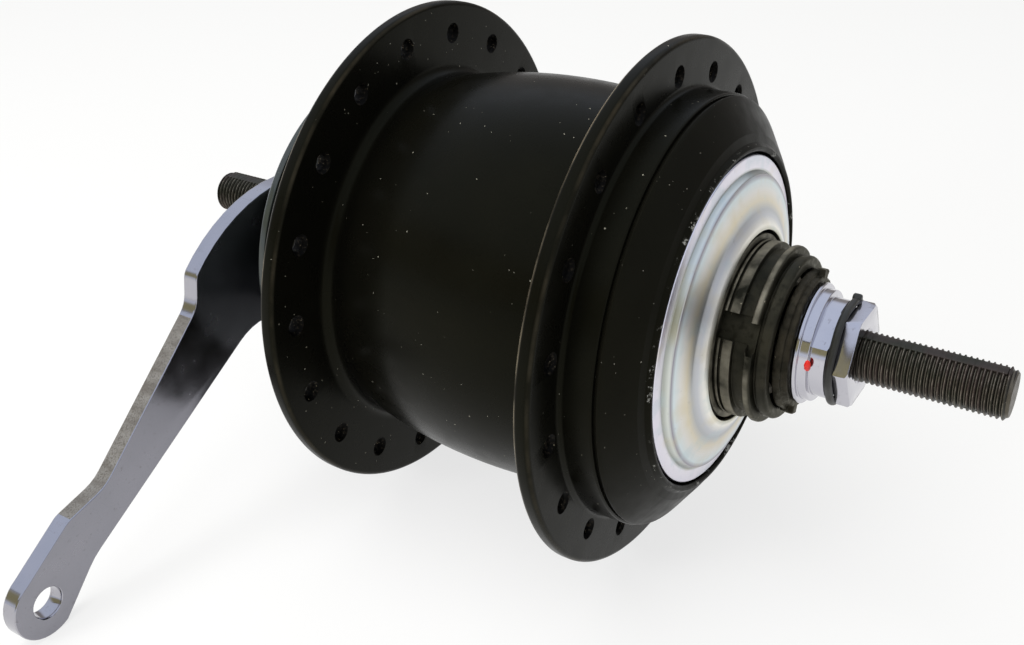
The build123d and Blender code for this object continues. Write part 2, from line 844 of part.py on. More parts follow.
def ring_gear():
    """Ring gear: inner teeth, a web on the driver and outer ramps that the rollers climb."""
    wall = ring_teeth * gear_module / 2 + ring_root_wall
    rim = ring(ring_tooth_start, ring_web_end, wall, ring_gear_radius)
    web = ring(ring_web_start, ring_web_end, driver_sleeve_radius + running_gap, ring_gear_radius)
    slack = -tooth_backlash / 2
    spaces = tooth_outline(ring_teeth, first_planet_angle, tooth_dedendum, tooth_addendum, slack)
    teeth_end = large_sun_start + gear_width + side_gap
    teeth = across(Circle(wall + fixed_gap) - spaces, ring_tooth_start, teeth_end)
    flat = Rectangle(ring_gear_radius, ring_gear_radius, align=(Align.MIN, Align.CENTER))
    ramp_height = roller_circle * math.cos(math.radians(ramp_tilt)) - roller_radius - running_gap
    ramp = across(Pos(ramp_height, 0) * flat, ring_tooth_start, ring_web_start)
    return rim + web + teeth - turn_copies(ramp, rollers, -ramp_tilt)


def clutch_rollers():
    """Rollers that wedge between the ring gear's rim and the shell's bore."""
    face = Pos(roller_circle, 0) * Circle(roller_radius)
    roller = across(face, roller_station, roller_station + roller_length)
    return Compound(children=turn_copies(roller, rollers))


def clutch_cage():
    """Cage that keeps the rollers apart round the ring gear."""
    inner = ring_gear_radius + fixed_gap
    start = roller_station - roller_cage_margin
    end = roller_station + roller_length + roller_cage_margin
    cage = ring(start, end, inner, inner + roller_cage_thickness)
    pocket = Pos(roller_circle, 0) * Circle(roller_radius + running_gap)
    hole = across(pocket, roller_station - running_gap, roller_station + roller_length + running_gap)
    return cage - turn_copies(hole, rollers)


def shift_ring():
    """Stepped ring with two footed lugs round the right cone, which a shift cable's pulley turns."""
    inner = cone_land_radius + running_gap
    body = ring(shift_ring_start, shift_step_station, inner, shift_ring_radius)
    body += ring(shift_step_station, shift_ring_end, inner, shift_step_radius)
    middle = (inner + shift_step_radius) / 2
    for reach, width, start, end in (
        (shift_foot_radius, shift_foot_width, shift_ring_start, shift_step_station),
        (shift_lug_radius, shift_lug_width, shift_lug_start, shift_ring_end),
    ):
        block = Pos(middle, 0) * Rectangle(reach - middle, width, align=(Align.MIN, Align.CENTER))
        body += turn_copies(across(block, start, end), 2, shift_lug_angle)
    return body


def nodes():
    """Every piece of the hub by its name."""
    pieces = {
        "axle": axle(),
        "hub_shell": hub_shell(),
        "brake_drum_sleeve": brake_drum_sleeve(),
        "left_bearing_cup": left_bearing_cup(),
        "right_ball_ring": right_ball_ring(),
        "right_dust_cap": right_dust_cap(),
        "dust_shield": dust_shield(),
        "left_dust_cap": left_dust_cap(),
        "brake_arm": brake_arm(),
        "brake_cone": brake_cone(),
        "left_lock_nut": left_lock_nut(),
        "right_lock_nut": right_lock_nut(),
        "right_cone": right_cone(),
        "cone_o_ring": cone_o_ring(),
        "shift_ring": shift_ring(),
        "driver": driver(),
        "planet_carrier": planet_carrier(),
        "planet_pins": planet_pins(),
        "large_sun_gear": sun_gear(large_sun_teeth, large_sun_start, axle_core_radius + fixed_gap),
        "small_sun_gear": sun_gear(small_sun_teeth, small_sun_start, shaft_run_radius),
        "sun_spacer": sun_spacer(),
        "ring_gear": ring_gear(),
        "clutch_rollers": clutch_rollers(),
        "clutch_cage": clutch_cage(),
        "brake_cam": brake_cam(),
        "left_bearing_balls": balls(left_ball_circle, left_ball_station, left_balls),
        "left_ball_cage": ball_cage(left_ball_circle, left_ball_station, left_balls, 1),
        "right_bearing_balls": balls(right_ball_circle, right_ball_station, right_balls),
        "right_ball_cage": ball_cage(right_ball_circle, right_ball_station, right_balls, 1),
        "driver_bearing_balls": balls(driver_ball_circle, driver_ball_station, driver_balls),
        "driver_ball_cage": ball_cage(driver_ball_circle, driver_ball_station, driver_balls, 1),
    }
    for i in range(planets):
        pieces[f"planet_gear_{i + 1}"] = planet_gear(i)
    for i in range(shoe_count):
        pieces[f"brake_shoe_{i + 1}"] = brake_shoe(i)
    return pieces


os.makedirs("parts", exist_ok=True)
for name, shape in nodes().items():
    export_step(shape, f"parts/{name}.step")
    print(name, len(shape.solids()), round(shape.volume, 1))
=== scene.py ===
import math

import bpy
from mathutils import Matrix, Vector


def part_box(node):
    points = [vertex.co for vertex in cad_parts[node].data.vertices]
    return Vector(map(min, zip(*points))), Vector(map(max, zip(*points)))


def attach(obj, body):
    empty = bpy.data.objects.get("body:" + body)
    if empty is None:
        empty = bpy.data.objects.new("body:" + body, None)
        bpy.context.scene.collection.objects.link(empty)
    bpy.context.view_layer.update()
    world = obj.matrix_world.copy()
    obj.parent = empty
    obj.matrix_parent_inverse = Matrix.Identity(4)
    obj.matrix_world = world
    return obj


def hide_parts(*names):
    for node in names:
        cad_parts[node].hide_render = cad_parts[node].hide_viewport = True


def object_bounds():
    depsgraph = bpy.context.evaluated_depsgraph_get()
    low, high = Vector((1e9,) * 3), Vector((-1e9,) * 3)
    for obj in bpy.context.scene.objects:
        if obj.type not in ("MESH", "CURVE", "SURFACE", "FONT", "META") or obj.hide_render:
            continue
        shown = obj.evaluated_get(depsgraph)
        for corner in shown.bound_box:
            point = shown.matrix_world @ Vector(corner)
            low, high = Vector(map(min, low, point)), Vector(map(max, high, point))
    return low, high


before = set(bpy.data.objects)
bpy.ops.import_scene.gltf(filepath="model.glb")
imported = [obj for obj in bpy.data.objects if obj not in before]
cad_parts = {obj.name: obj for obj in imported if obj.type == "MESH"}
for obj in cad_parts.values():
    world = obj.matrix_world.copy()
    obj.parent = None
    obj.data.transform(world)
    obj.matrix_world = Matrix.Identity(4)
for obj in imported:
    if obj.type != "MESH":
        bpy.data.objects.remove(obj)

cad_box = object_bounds()

# Camera: it looks down on the hub from the side, a little towards the drive end, as the
# photograph's does. The shift puts the hub where the photograph's frame has it.
camera_place = (-0.191375, -0.113047, 0.114989)
camera_turn = (63.4656, 1.6503, -57.3843)
camera_lens = 41.992
camera_sensor = 36.0
camera_shift = (0.014884, -0.063260)

bpy.ops.object.camera_add(location=camera_place, rotation=[math.radians(a) for a in camera_turn])
camera = bpy.context.object
camera.data.lens = camera_lens
camera.data.sensor_width = camera_sensor
camera.data.shift_x, camera.data.shift_y = camera_shift
camera.data.clip_start = 0.01
bpy.context.scene.camera = camera
bpy.context.scene.view_settings.view_transform = "Standard"


# Studio: a white floor that keeps a soft shadow, and a pale room with a large lamp overhead and a
# small one to the left. Metal also mirrors a blue skylight, an olive wall with a dark sill on the
# left and a grey wall on the right.
floor_colour = "FBFAF8"
floor_glow = 0.75
floor_roughness = 0.9
floor_size = 8.0
backdrop_colour = "FFFFFF"
horizon_colour = "E6ECFA"
horizon_band = (0.15, 0.85)
zenith_colour = "BFBFB2"
window_colour = "E2ECFF"
room_light = 0.66
# A part of the room is a colour and its edges. An edge is an axis of the look's direction, where the
# part begins to show along it, and where it shows in full.
left_side = ("X", -0.45, -0.6)
olive_wall = ("A39C78", left_side, ("Z", 0.06, 0.16), ("Z", 0.49, 0.47))
dark_sill = ("2E1E10", left_side, ("Z", 0.467, 0.473), ("Z", 0.503, 0.497))
grey_wall = ("9C9896", ("X", 0.4, 0.6), ("Z", 0.5, 0.3))
# A lamp is its place in metres, its turn in degrees, its shape, its size in metres and its power.
top_lamp = ((-0.25, 0.15, 0.75), (-11, -18, 0), "DISK", 0.9, 6.0)
side_lamp = ((-0.55, 0.25, 0.25), (0, -70, -25), "SQUARE", 0.14, 0.9)


def hex_colour(code):
    """An sRGB hex code as a linear colour."""
    parts = [int(code[i:i + 2], 16) / 255 for i in (0, 2, 4)]
    linear = [c / 12.92 if c <= 0.04045 else ((c + 0.055) / 1.055) ** 2.4 for c in parts]
    return (*linear, 1.0)


def feed(tree, node, inputs):
    """Links each input that is a socket, and sets any other. A hex code becomes its colour."""
    usable = [socket for socket in node.inputs if socket.enabled]
    for label, value in inputs.items():
        socket = usable[label] if isinstance(label, int) else next(s for s in usable if s.name == label)
        if isinstance(value, bpy.types.NodeSocket):
            tree.links.new(value, socket)
        else:
            socket.default_value = hex_colour(value) if isinstance(value, str) else value


def add_node(tree, kind, inputs=None, output=0, **settings):
    """Adds a node with its settings and links, and gives back one of its outputs."""
    node = tree.nodes.new("ShaderNode" + kind)
    for name, value in settings.items():
        setattr(node, name, value)
    feed(tree, node, inputs or {})
    usable = [socket for socket in node.outputs if socket.enabled]
    return node.outputs[output] if isinstance(output, str) else usable[output]


def shown_background(tree):
    """1 for the rays that show a background to the camera, in metal or through glass, and else 0."""
    seen = add_node(tree, "LightPath", output="Is Camera Ray").node.outputs
    shown = add_node(tree, "Math", {
        0: seen["Is Camera Ray"], 1: seen["Is Glossy Ray"]}, operation="MAXIMUM")
    return add_node(tree, "Math", {0: shown, 1: seen["Is Transmission Ray"]}, operation="MAXIMUM")


world = bpy.data.worlds.new("pale_room")
bpy.context.scene.world = world
world.use_nodes = True
tree = world.node_tree
look = add_node(tree, "TexCoord", output="Generated")
look = add_node(tree, "SeparateXYZ", {0: look}, output="Z").node.outputs
mirrored = add_node(tree, "LightPath", output="Is Glossy Ray")
ceiling = add_node(tree, "Mix", {
    "Factor": mirrored, "A": zenith_colour, "B": window_colour}, data_type="RGBA")
rise = add_node(tree, "MapRange", {
    "Value": look["Z"], "From Min": horizon_band[0], "From Max": horizon_band[1]})
sky = add_node(tree, "Mix", {"Factor": rise, "A": horizon_colour, "B": ceiling}, data_type="RGBA")
for colour, *edges in (olive_wall, dark_sill, grey_wall):
    share = mirrored
    for axis, begins, full in edges:
        edge = add_node(tree, "MapRange", {"Value": look[axis], "From Min": begins, "From Max": full})
        share = add_node(tree, "Math", {0: share, 1: edge}, operation="MULTIPLY")
    sky = add_node(tree, "Mix", {"Factor": share, "A": sky, "B": colour}, data_type="RGBA")
seen = add_node(tree, "LightPath", output="Is Camera Ray")
sky = add_node(tree, "Mix", {"Factor": seen, "A": sky, "B": backdrop_colour}, data_type="RGBA")
shown = shown_background(tree)
strength = add_node(tree, "MapRange", {"Value": shown, "To Min": room_light, "To Max": 1.0})
feed(tree, tree.nodes["Background"], {"Color": sky, "Strength": strength})

bpy.ops.mesh.primitive_plane_add(size=floor_size, location=(0, 0, cad_box[0][2]))
floor = bpy.context.object
floor.name = "floor"
floor_paint = bpy.data.materials.new("matt_white_floor")
floor_paint.use_nodes = True
tree = floor_paint.node_tree
feed(tree, tree.nodes["Principled BSDF"], {
    "Base Color": floor_colour, "Roughness": floor_roughness, "Specular IOR Level": 0.0})
glow = add_node(tree, "Emission", {"Color": backdrop_colour, "Strength": 1.0})
share = add_node(tree, "Math", {0: shown_background(tree), 1: floor_glow}, operation="MULTIPLY")
lit = tree.nodes["Principled BSDF"].outputs["BSDF"]
surface = add_node(tree, "MixShader", {0: share, 1: lit, 2: glow})
feed(tree, tree.nodes["Material Output"], {"Surface": surface})
floor.data.materials.append(floor_paint)

for place, turn, shape, size, power in (top_lamp, side_lamp):
    bpy.ops.object.light_add(type="AREA", location=place, rotation=[math.radians(a) for a in turn])
    lamp = bpy.context.object
    lamp.data.shape = shape
    lamp.data.size = size
    lamp.data.energy = power
    lamp.visible_glossy = False


# Hub shell: one aluminium casting, turned, drilled for 36 spokes and painted satin black.
# Two flanges stand on a crowned barrel, and the collar beside the drive flange takes the dust cap.
# Outline points are station along the axle towards the drive side, radius and corner rounding, in mm.
MM = 0.001
flange_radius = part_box("hub_shell")[1].z / MM
flange_thickness = 3.2
left_flange = -30.9
right_flange = 24.9
spoke_circle = 92.6
spoke_hole = 1.45
spoke_countersink = 2.15
countersink_depth = 0.7
drill_flare = 0.25
drill_overrun = 1.0
spokes_a_flange = 18
left_spoke_angle = 77.35
rim_round = 1.0
barrel_ends = ((left_flange + flange_thickness / 2, 37.0), (right_flange - flange_thickness / 2, 39.1))
barrel_crown = (-1.0, 41.25)
barrel_root = 2.4
merge_distance = 2e-6


def rounded(outline, step=14.0):
    """An outline of (x, y, rounding) points with an arc at each corner that has a rounding."""
    points = []
    for i, (x, y, rounding) in enumerate(outline):
        corner = Vector((x, y))
        back = Vector(outline[i - 1][:2]) - corner
        ahead = Vector(outline[(i + 1) % len(outline)][:2]) - corner
        if rounding == 0 or back.length * ahead.length == 0:
            points.append(corner)
            continue
        opening = back.angle(ahead)
        reach = rounding / math.tan(opening / 2)
        start = corner + back.normalized() * reach
        end = corner + ahead.normalized() * reach
        inward = (back.normalized() + ahead.normalized()).normalized()
        middle = corner + inward * rounding / math.sin(opening / 2)
        sweep = (start - middle).angle_signed(end - middle)
        count = max(2, round(abs(math.degrees(sweep)) / step))
        for j in range(count + 1):
            turn = -sweep * j / count
            spoke = start - middle
            points.append(middle + Vector((
                spoke.x * math.cos(turn) - spoke.y * math.sin(turn),
                spoke.x * math.sin(turn) + spoke.y * math.cos(turn))))
    return points


def draw_outline(name, places):
    """A closed line through places, drawn by extruding one vertex. It stays in edit mode."""
    bpy.ops.object.select_all(action="DESELECT")
    bpy.ops.mesh.primitive_plane_add(size=MM, location=places[0])
    piece = bpy.context.object
    piece.name = name
    piece.data.name = name
    bpy.ops.object.mode_set(mode="EDIT")
    bpy.ops.mesh.select_all(action="SELECT")
    bpy.ops.mesh.merge(type="CENTER")
    for before, after in zip(places, places[1:]):
        step = Vector(after) - Vector(before)
        bpy.ops.mesh.extrude_vertices_move(TRANSFORM_OT_translate={"value": step})
    bpy.ops.mesh.select_all(action="SELECT")
    return piece


def place_mesh(piece, angle=30.0):
    """Leaves edit mode, puts the piece's place in its mesh and shades it smooth up to an angle."""
    bpy.ops.object.mode_set(mode="OBJECT")
    bpy.ops.object.transform_apply(location=True, rotation=True, scale=True)
    bpy.ops.object.shade_smooth_by_angle(angle=math.radians(angle))
    return piece


def turned(name, outline, segments=192, angle=30.0):
    """A piece turned on a lathe: its outline of (station, radius, rounding) spun round the axle."""
    points = rounded(outline)
    places = [(p.y * MM, -p.x * MM, 0) for p in points + points[:1]]
    piece = draw_outline(name, places)
    bpy.ops.mesh.spin(steps=segments, angle=2 * math.pi, center=(0, 0, 0), axis=(0, 1, 0))
    bpy.ops.mesh.select_all(action="SELECT")
    bpy.ops.mesh.remove_doubles(threshold=merge_distance)
    bpy.ops.mesh.normals_make_consistent(inside=False)
    return place_mesh(piece, angle)


def arc_through(first, middle, last, count):
    """Points on the arc through three points, without the end ones, as outline points."""
    (ax, ay), (bx, by), (cx, cy) = first, middle, last
    a, b, c = ax ** 2 + ay ** 2, bx ** 2 + by ** 2, cx ** 2 + cy ** 2
    d = 2 * (ax * (by - cy) + bx * (cy - ay) + cx * (ay - by))
    ux = (a * (by - cy) + b * (cy - ay) + c * (ay - by)) / d
    uy = (a * (cx - bx) + b * (ax - cx) + c * (bx - ax)) / d
    radius = math.dist(first, (ux, uy))
    xs = [ax + (cx - ax) * i / count for i in range(1, count)]
    return [(x, uy + math.sqrt(radius ** 2 - (x - ux) ** 2), 0) for x in xs]


def select_only(*pieces):
    """Selects some pieces and nothing else, and makes the first of them active."""
    bpy.ops.object.select_all(action="DESELECT")
    for piece in pieces:
        piece.select_set(True)
    bpy.context.view_layer.objects.active = pieces[0]


def apply_modifier(piece, kind, **settings):
    """Adds a modifier to a piece and applies it."""
    select_only(piece)
    modifier = piece.modifiers.new(kind.lower(), kind)
    for name, value in settings.items():
        setattr(modifier, name, value)
    bpy.ops.object.modifier_apply(modifier=modifier.name)


def join_pieces(pieces):
    """Joins pieces into the first of them."""
    select_only(*pieces)
    bpy.ops.object.join()


def copies_round_axle(piece, count, first, pitch):
    """Turns a piece to its first angle and adds turned copies, all joined in one mesh."""
    ring = [piece]
    for i in range(1, count):
        copy = piece.copy()
        copy.data = piece.data.copy()
        bpy.context.scene.collection.objects.link(copy)
        ring.append(copy)
    for i, one in enumerate(ring):
        one.rotation_euler = (0, -math.radians(first + pitch * i), 0)
    join_pieces(ring)
    bpy.ops.object.transform_apply(location=True, rotation=True, scale=True)


def cut(piece, tool):
    """Takes a tool's solid out of a piece. The cut faces keep the tool's material."""
    apply_modifier(
        piece, "BOOLEAN", object=tool, operation="DIFFERENCE", solver="EXACT", material_mode="TRANSFER")
    bpy.data.objects.remove(tool)


def new_material(name):
    """A material, its tree and its Object coordinates in mm."""
    material = bpy.data.materials.new(name)
    material.use_nodes = True
    tree = material.node_tree
    metres = add_node(tree, "TexCoord", output="Object")
    return material, tree, add_node(tree, "VectorMath", {0: metres, "Scale": 1 / MM}, operation="SCALE")


def from_axle(tree, place):
    """The distance of a point from the axle, and its station along it, in mm."""
    parts = add_node(tree, "SeparateXYZ", {0: place}, output="X").node.outputs
    flat = add_node(tree, "CombineXYZ", {"X": parts["X"], "Z": parts["Z"]})
    radius = add_node(tree, "VectorMath", {0: flat}, output="Value", operation="LENGTH")
    return radius, add_node(tree, "Math", {0: parts["Y"], 1: -1.0}, operation="MULTIPLY")


def patches(tree, place, size, detail, ends, levels=(0.0, 1.0), roughness=0.5):
    """Soft patches of a size in mm: one level turns to the other between two ends of a noise."""
    noise = add_node(tree, "TexNoise", {
        "Vector": place, "Scale": 1 / size, "Detail": detail, "Roughness": roughness})
    return add_node(tree, "MapRange", {
        "Value": noise, "From Min": ends[0], "From Max": ends[1], "To Min": levels[0], "To Max": levels[1]})


def dusty(tree, place, colour, dust_colour, size, share):
    """A colour under sparse dust: specks up to a size in mm, on a share of the cells round them."""
    warp = add_node(tree, "TexNoise", {"Vector": place, "Scale": 0.4 / size}, output="Color")
    near = add_node(tree, "VectorMath", {0: warp, 1: (3 * size,) * 3, 2: place}, operation="MULTIPLY_ADD")
    cells = add_node(tree, "TexVoronoi", {"Vector": near, "Scale": 0.2 / size}, output="Color").node.outputs
    chance = add_node(tree, "SeparateColor", {0: cells["Color"]}, output="Red").node.outputs
    reach = add_node(tree, "MapRange", {"Value": chance["Green"], "To Min": 0.03, "To Max": 0.11})
    speck = add_node(tree, "Math", {0: cells["Distance"], 1: reach}, operation="LESS_THAN")
    chosen = add_node(tree, "Math", {0: chance["Red"], 1: share}, operation="LESS_THAN")
    specks = add_node(tree, "Math", {0: speck, 1: chosen}, operation="MULTIPLY")
    return add_node(tree, "Mix", {"Factor": specks, "A": colour, "B": dust_colour}, data_type="RGBA")


def satin_black_enamel():
    """Stoved satin black enamel on aluminium: deep, even gloss, with dust and a rim line of rubbed paint
    and painted highlight.
    """
    cloud_size, rub_size, dust_size, handling_size, peel_size = 16.0, 9.0, 0.22, 5.0, 1.1
    material, tree, place = new_material("satin_black_enamel")
    radius, station = from_axle(tree, place)
    cloud = add_node(tree, "TexNoise", {"Vector": place, "Scale": 1 / cloud_size, "Detail": 3.0})
    colour = add_node(tree, "Mix", {"Factor": cloud, "A": "080806", "B": "100F0A"}, data_type="RGBA")
    # A pale line round each flange's rim corner, strongest on the brake-side corner: partly enamel rubbed
    # thin, partly a painted highlight.
    half_pitch = (right_flange - left_flange) / 2
    low, high = left_flange - half_pitch, left_flange + half_pitch
    near = add_node(tree, "Math", {0: station, 1: high, 2: low}, operation="WRAP")
    along = add_node(tree, "Math", {0: near, 1: left_flange}, operation="SUBTRACT")
    corner = (flange_radius, flange_thickness / 2, 0)
    spread = add_node(tree, "Math", {0: along}, operation="ABSOLUTE")
    spot = add_node(tree, "CombineXYZ", {"X": radius, "Y": spread})
    off = add_node(tree, "VectorMath", {0: spot, 1: corner}, output="Value", operation="DISTANCE")
    edge = add_node(tree, "MapRange", {
        "Value": off, "From Min": rim_round * 0.72, "From Max": rim_round * 0.36})
    worn = patches(tree, place, rub_size, 6.0, (0.4, 0.6), (0.1, 0.75))
    outer = add_node(tree, "MapRange", {"Value": along, "From Min": 1.0, "From Max": -1.0, "To Min": 0.15})
    edge = add_node(tree, "Math", {0: edge, 1: outer}, operation="MULTIPLY")
    rub_and_highlight = add_node(tree, "Math", {0: edge, 1: worn}, operation="MULTIPLY")
    tint = add_node(tree, "Mix", {"Factor": cloud, "A": "8E8878", "B": "8A7558"}, data_type="RGBA")
    colour = add_node(tree, "Mix", {"Factor": rub_and_highlight, "A": colour, "B": tint}, data_type="RGBA")
    colour = dusty(tree, place, colour, "A8A495", dust_size, 0.16)
    gloss = patches(tree, place, handling_size, 5.0, (0.3, 0.7), (0.24, 0.33))
    peel = add_node(tree, "TexNoise", {"Vector": place, "Scale": 1 / peel_size, "Detail": 2.0})
    relief = add_node(tree, "Bump", {"Height": peel, "Distance": 0.004 * MM})
    feed(tree, tree.nodes["Principled BSDF"], {
        "Base Color": colour, "Roughness": gloss, "Specular IOR Level": 0.08, "Specular Tint": "EAEAC4",
        "Normal": relief})
    return material


def drilled_aluminium():
    """Bare aluminium in a drilled hole: dull, brownish and dusty, painted near black as the shade inside
    it, with painted glints.
    """
    dirt_size, grain_size = 0.6, 0.25
    material, tree, place = new_material("drilled_aluminium")
    dirt = add_node(tree, "TexNoise", {"Vector": place, "Scale": 1 / dirt_size, "Detail": 4.0})
    share = add_node(tree, "MapRange", {"Value": dirt, "From Min": 0.54, "From Max": 0.64})
    # The near black colours are painted shade inside the hole; the noise sets lighter brownish patches.
    colour = add_node(tree, "Mix", {"Factor": share, "A": "080705", "B": "2A251E"}, data_type="RGBA")
    # Painted glints: small bright specks on the brownish patches.
    glints = patches(tree, place, grain_size, 2.0, (0.66, 0.70))
    glints = add_node(tree, "Math", {0: glints, 1: share}, operation="MULTIPLY")
    colour = add_node(tree, "Mix", {"Factor": glints, "A": colour, "B": "C9BC9E"}, data_type="RGBA")
    relief = add_node(tree, "Bump", {"Height": dirt, "Distance": 0.12 * MM})
    feed(tree, tree.nodes["Principled BSDF"], {
        "Base Color": colour, "Metallic": 0.4, "Roughness": 0.6, "Specular IOR Level": 0.1,
        "Normal": relief})
    return material


left_out, left_in = (left_flange + side * flange_thickness / 2 for side in (-1, 1))
right_in, right_out = (right_flange + side * flange_thickness / 2 for side in (-1, 1))
shell_outline = [
    (-46.0, 27.0, 0.3),
    (-46.0, 37.0, 0.8),
    (left_out, 37.0, 1.4),
    (left_out, flange_radius, rim_round),
    (left_in, flange_radius, rim_round),
    (*barrel_ends[0], barrel_root),
    *arc_through(barrel_ends[0], barrel_crown, barrel_ends[1], 28),
    (*barrel_ends[1], barrel_root),
    (right_in, flange_radius, rim_round),
    (right_out, flange_radius, rim_round),
    (right_out, 43.0, 1.1),
    (33.0, 43.0, 0.45),
    (33.0, 36.5, 0.2),
    (-6.0, 36.5, 0.0),
    (-6.0, 31.0, 0.0),
    (-40.8, 31.0, 0.0),
    (-40.8, 27.0, 0.0),
]
shell = turned("painted_hub_shell", shell_outline, segments=256)
shell.data.materials.append(satin_black_enamel())
hole_metal = drilled_aluminium()
half = flange_thickness / 2
drill_outline = [
    (-half - drill_overrun, 0, 0),
    (-half - drill_overrun, spoke_countersink + drill_flare, 0),
    (-half, spoke_countersink, 0.2),
    (-half + countersink_depth, spoke_hole, 0.2),
    (half - countersink_depth, spoke_hole, 0.2),
    (half, spoke_countersink, 0.2),
    (half + drill_overrun, spoke_countersink + drill_flare, 0),
    (half + drill_overrun, 0, 0),
]
right_spoke_angle = left_spoke_angle + 180 / spokes_a_flange
for flange, first in ((left_flange, left_spoke_angle), (right_flange, right_spoke_angle)):
    drill = turned("spoke_drill", drill_outline, segments=32)
    drill.data.materials.append(hole_metal)
    drill.location = (spoke_circle / 2 * MM, -flange * MM, 0)
    bpy.ops.object.transform_apply(location=True)
    copies_round_axle(drill, spokes_a_flange, first, 360 / spokes_a_flange)
    cut(shell, drill)
bpy.ops.object.shade_smooth_by_angle(angle=math.radians(30))
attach(shell, "shell")
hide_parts("hub_shell")


# Right dust cap: moulded black plastic ring, pressed in the shell round the silver shield.
# Its shoulder slopes to a groove, and the raised lip inside is scuffed pale by handling.
cap_outline = [
    (33.0, 36.48, 0),
    (32.1, 36.48, 0),
    (32.1, 34.7, 0),
    (36.6, 34.7, 0),
    (37.0, 32.95, 0),
    (39.5, 32.95, 0.3),
    (39.85, 33.4, 0.15),
    (39.85, 33.9, 0.25),
    (38.9, 34.6, 0.4),
    (38.35, 36.2, 0.5),
    (34.3, 42.1, 2.0),
    (33.45, 43.1, 0.3),
    (33.45, 42.1, 0),
    (33.0, 42.1, 0),
]
cap_lip_radius = 34.6
cap_lip_station = 39.2


def moulded_black_plastic():
    """Moulded black plastic: even low gloss, faint handling marks and pale scuffs on its lip."""
    cloud_size, scuff_size, dust_size, handling_size, grain_size = 9.0, 2.6, 0.2, 3.0, 0.45
    material, tree, place = new_material("moulded_black_plastic")
    radius, station = from_axle(tree, place)
    cloud = add_node(tree, "TexNoise", {"Vector": place, "Scale": 1 / cloud_size, "Detail": 3.0})
    colour = add_node(tree, "Mix", {"Factor": cloud, "A": "0B0A07", "B": "14130E"}, data_type="RGBA")
    inside = add_node(tree, "Math", {0: radius, 1: cap_lip_radius}, operation="LESS_THAN")
    raised = add_node(tree, "Math", {0: station, 1: cap_lip_station}, operation="GREATER_THAN")
    lip = add_node(tree, "Math", {0: inside, 1: raised}, operation="MULTIPLY")
    scuffed = patches(tree, place, scuff_size, 9.0, (0.575, 0.63), roughness=0.8)
    scuffed = add_node(tree, "Math", {0: lip, 1: scuffed}, operation="MULTIPLY")
    colour = add_node(tree, "Mix", {"Factor": scuffed, "A": colour, "B": "A3A29C"}, data_type="RGBA")
    colour = dusty(tree, place, colour, "8F8B80", dust_size, 0.2)
    gloss = patches(tree, place, handling_size, 4.0, (0.3, 0.7), (0.30, 0.42))
    grain = add_node(tree, "TexNoise", {"Vector": place, "Scale": 1 / grain_size, "Detail": 2.0})
    relief = add_node(tree, "Bump", {"Height": grain, "Distance": 0.008 * MM})
    feed(tree, tree.nodes["Principled BSDF"], {
        "Base Color": colour, "Roughness": gloss, "Specular IOR Level": 0.06, "Specular Tint": "EAEAC4",
        "Normal": relief})
    return material


cap = turned("plastic_dust_cap", cap_outline, segments=256)
cap.data.materials.append(moulded_black_plastic())
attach(cap, "shell")
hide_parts("right_dust_cap")


# Dust shield: steel sheet pressed to a stepped disc with a beaded rim, and zinc plated.
# The plating's clear chromate gives faint bands of cyan, yellow and lilac along the steps; painted
# reflections lie in the same bands.
shield_outline = [
    (39.5, 32.4, 0.4),
    (39.7, 29.5, 0.2),
    (40.95, 28.95, 0.35),
    (42.4, 22.5, 2.6),
    (43.55, 20.1, 1.0),
    (44.1, 18.75, 0.3),
    (43.1, 18.75, 0.1),
    (42.55, 20.1, 0.5),
    (41.35, 22.35, 2.0),
    (40.2, 27.7, 0.2),
    (39.0, 28.35, 0.2),
    (39.0, 31.4, 0.2),
    (37.4, 31.4, 0.1),
    (37.4, 32.4, 0.1),
]
# Colours by radius in mm: partly the chromate's tints, partly painted reflections, as the bright ring on
# the bead and the grey rings at the outer step.
shield_tints_and_reflections = (
    (18.7, "B4B4A2"),
    (19.8, "F4F1E8"),
    (21.4, "C4C6CB"),
    (22.6, "B4B6B8"),
    (24.2, "D8D0BC"),
    (26.0, "DDDBD6"),
    (27.8, "D2DDE0"),
    (28.7, "96929C"),
    (29.1, "D6DAD4"),
    (29.5, "A9ADA6"),
    (30.0, "E9E6EE"),
    (32.4, "E0DDE8"),
)


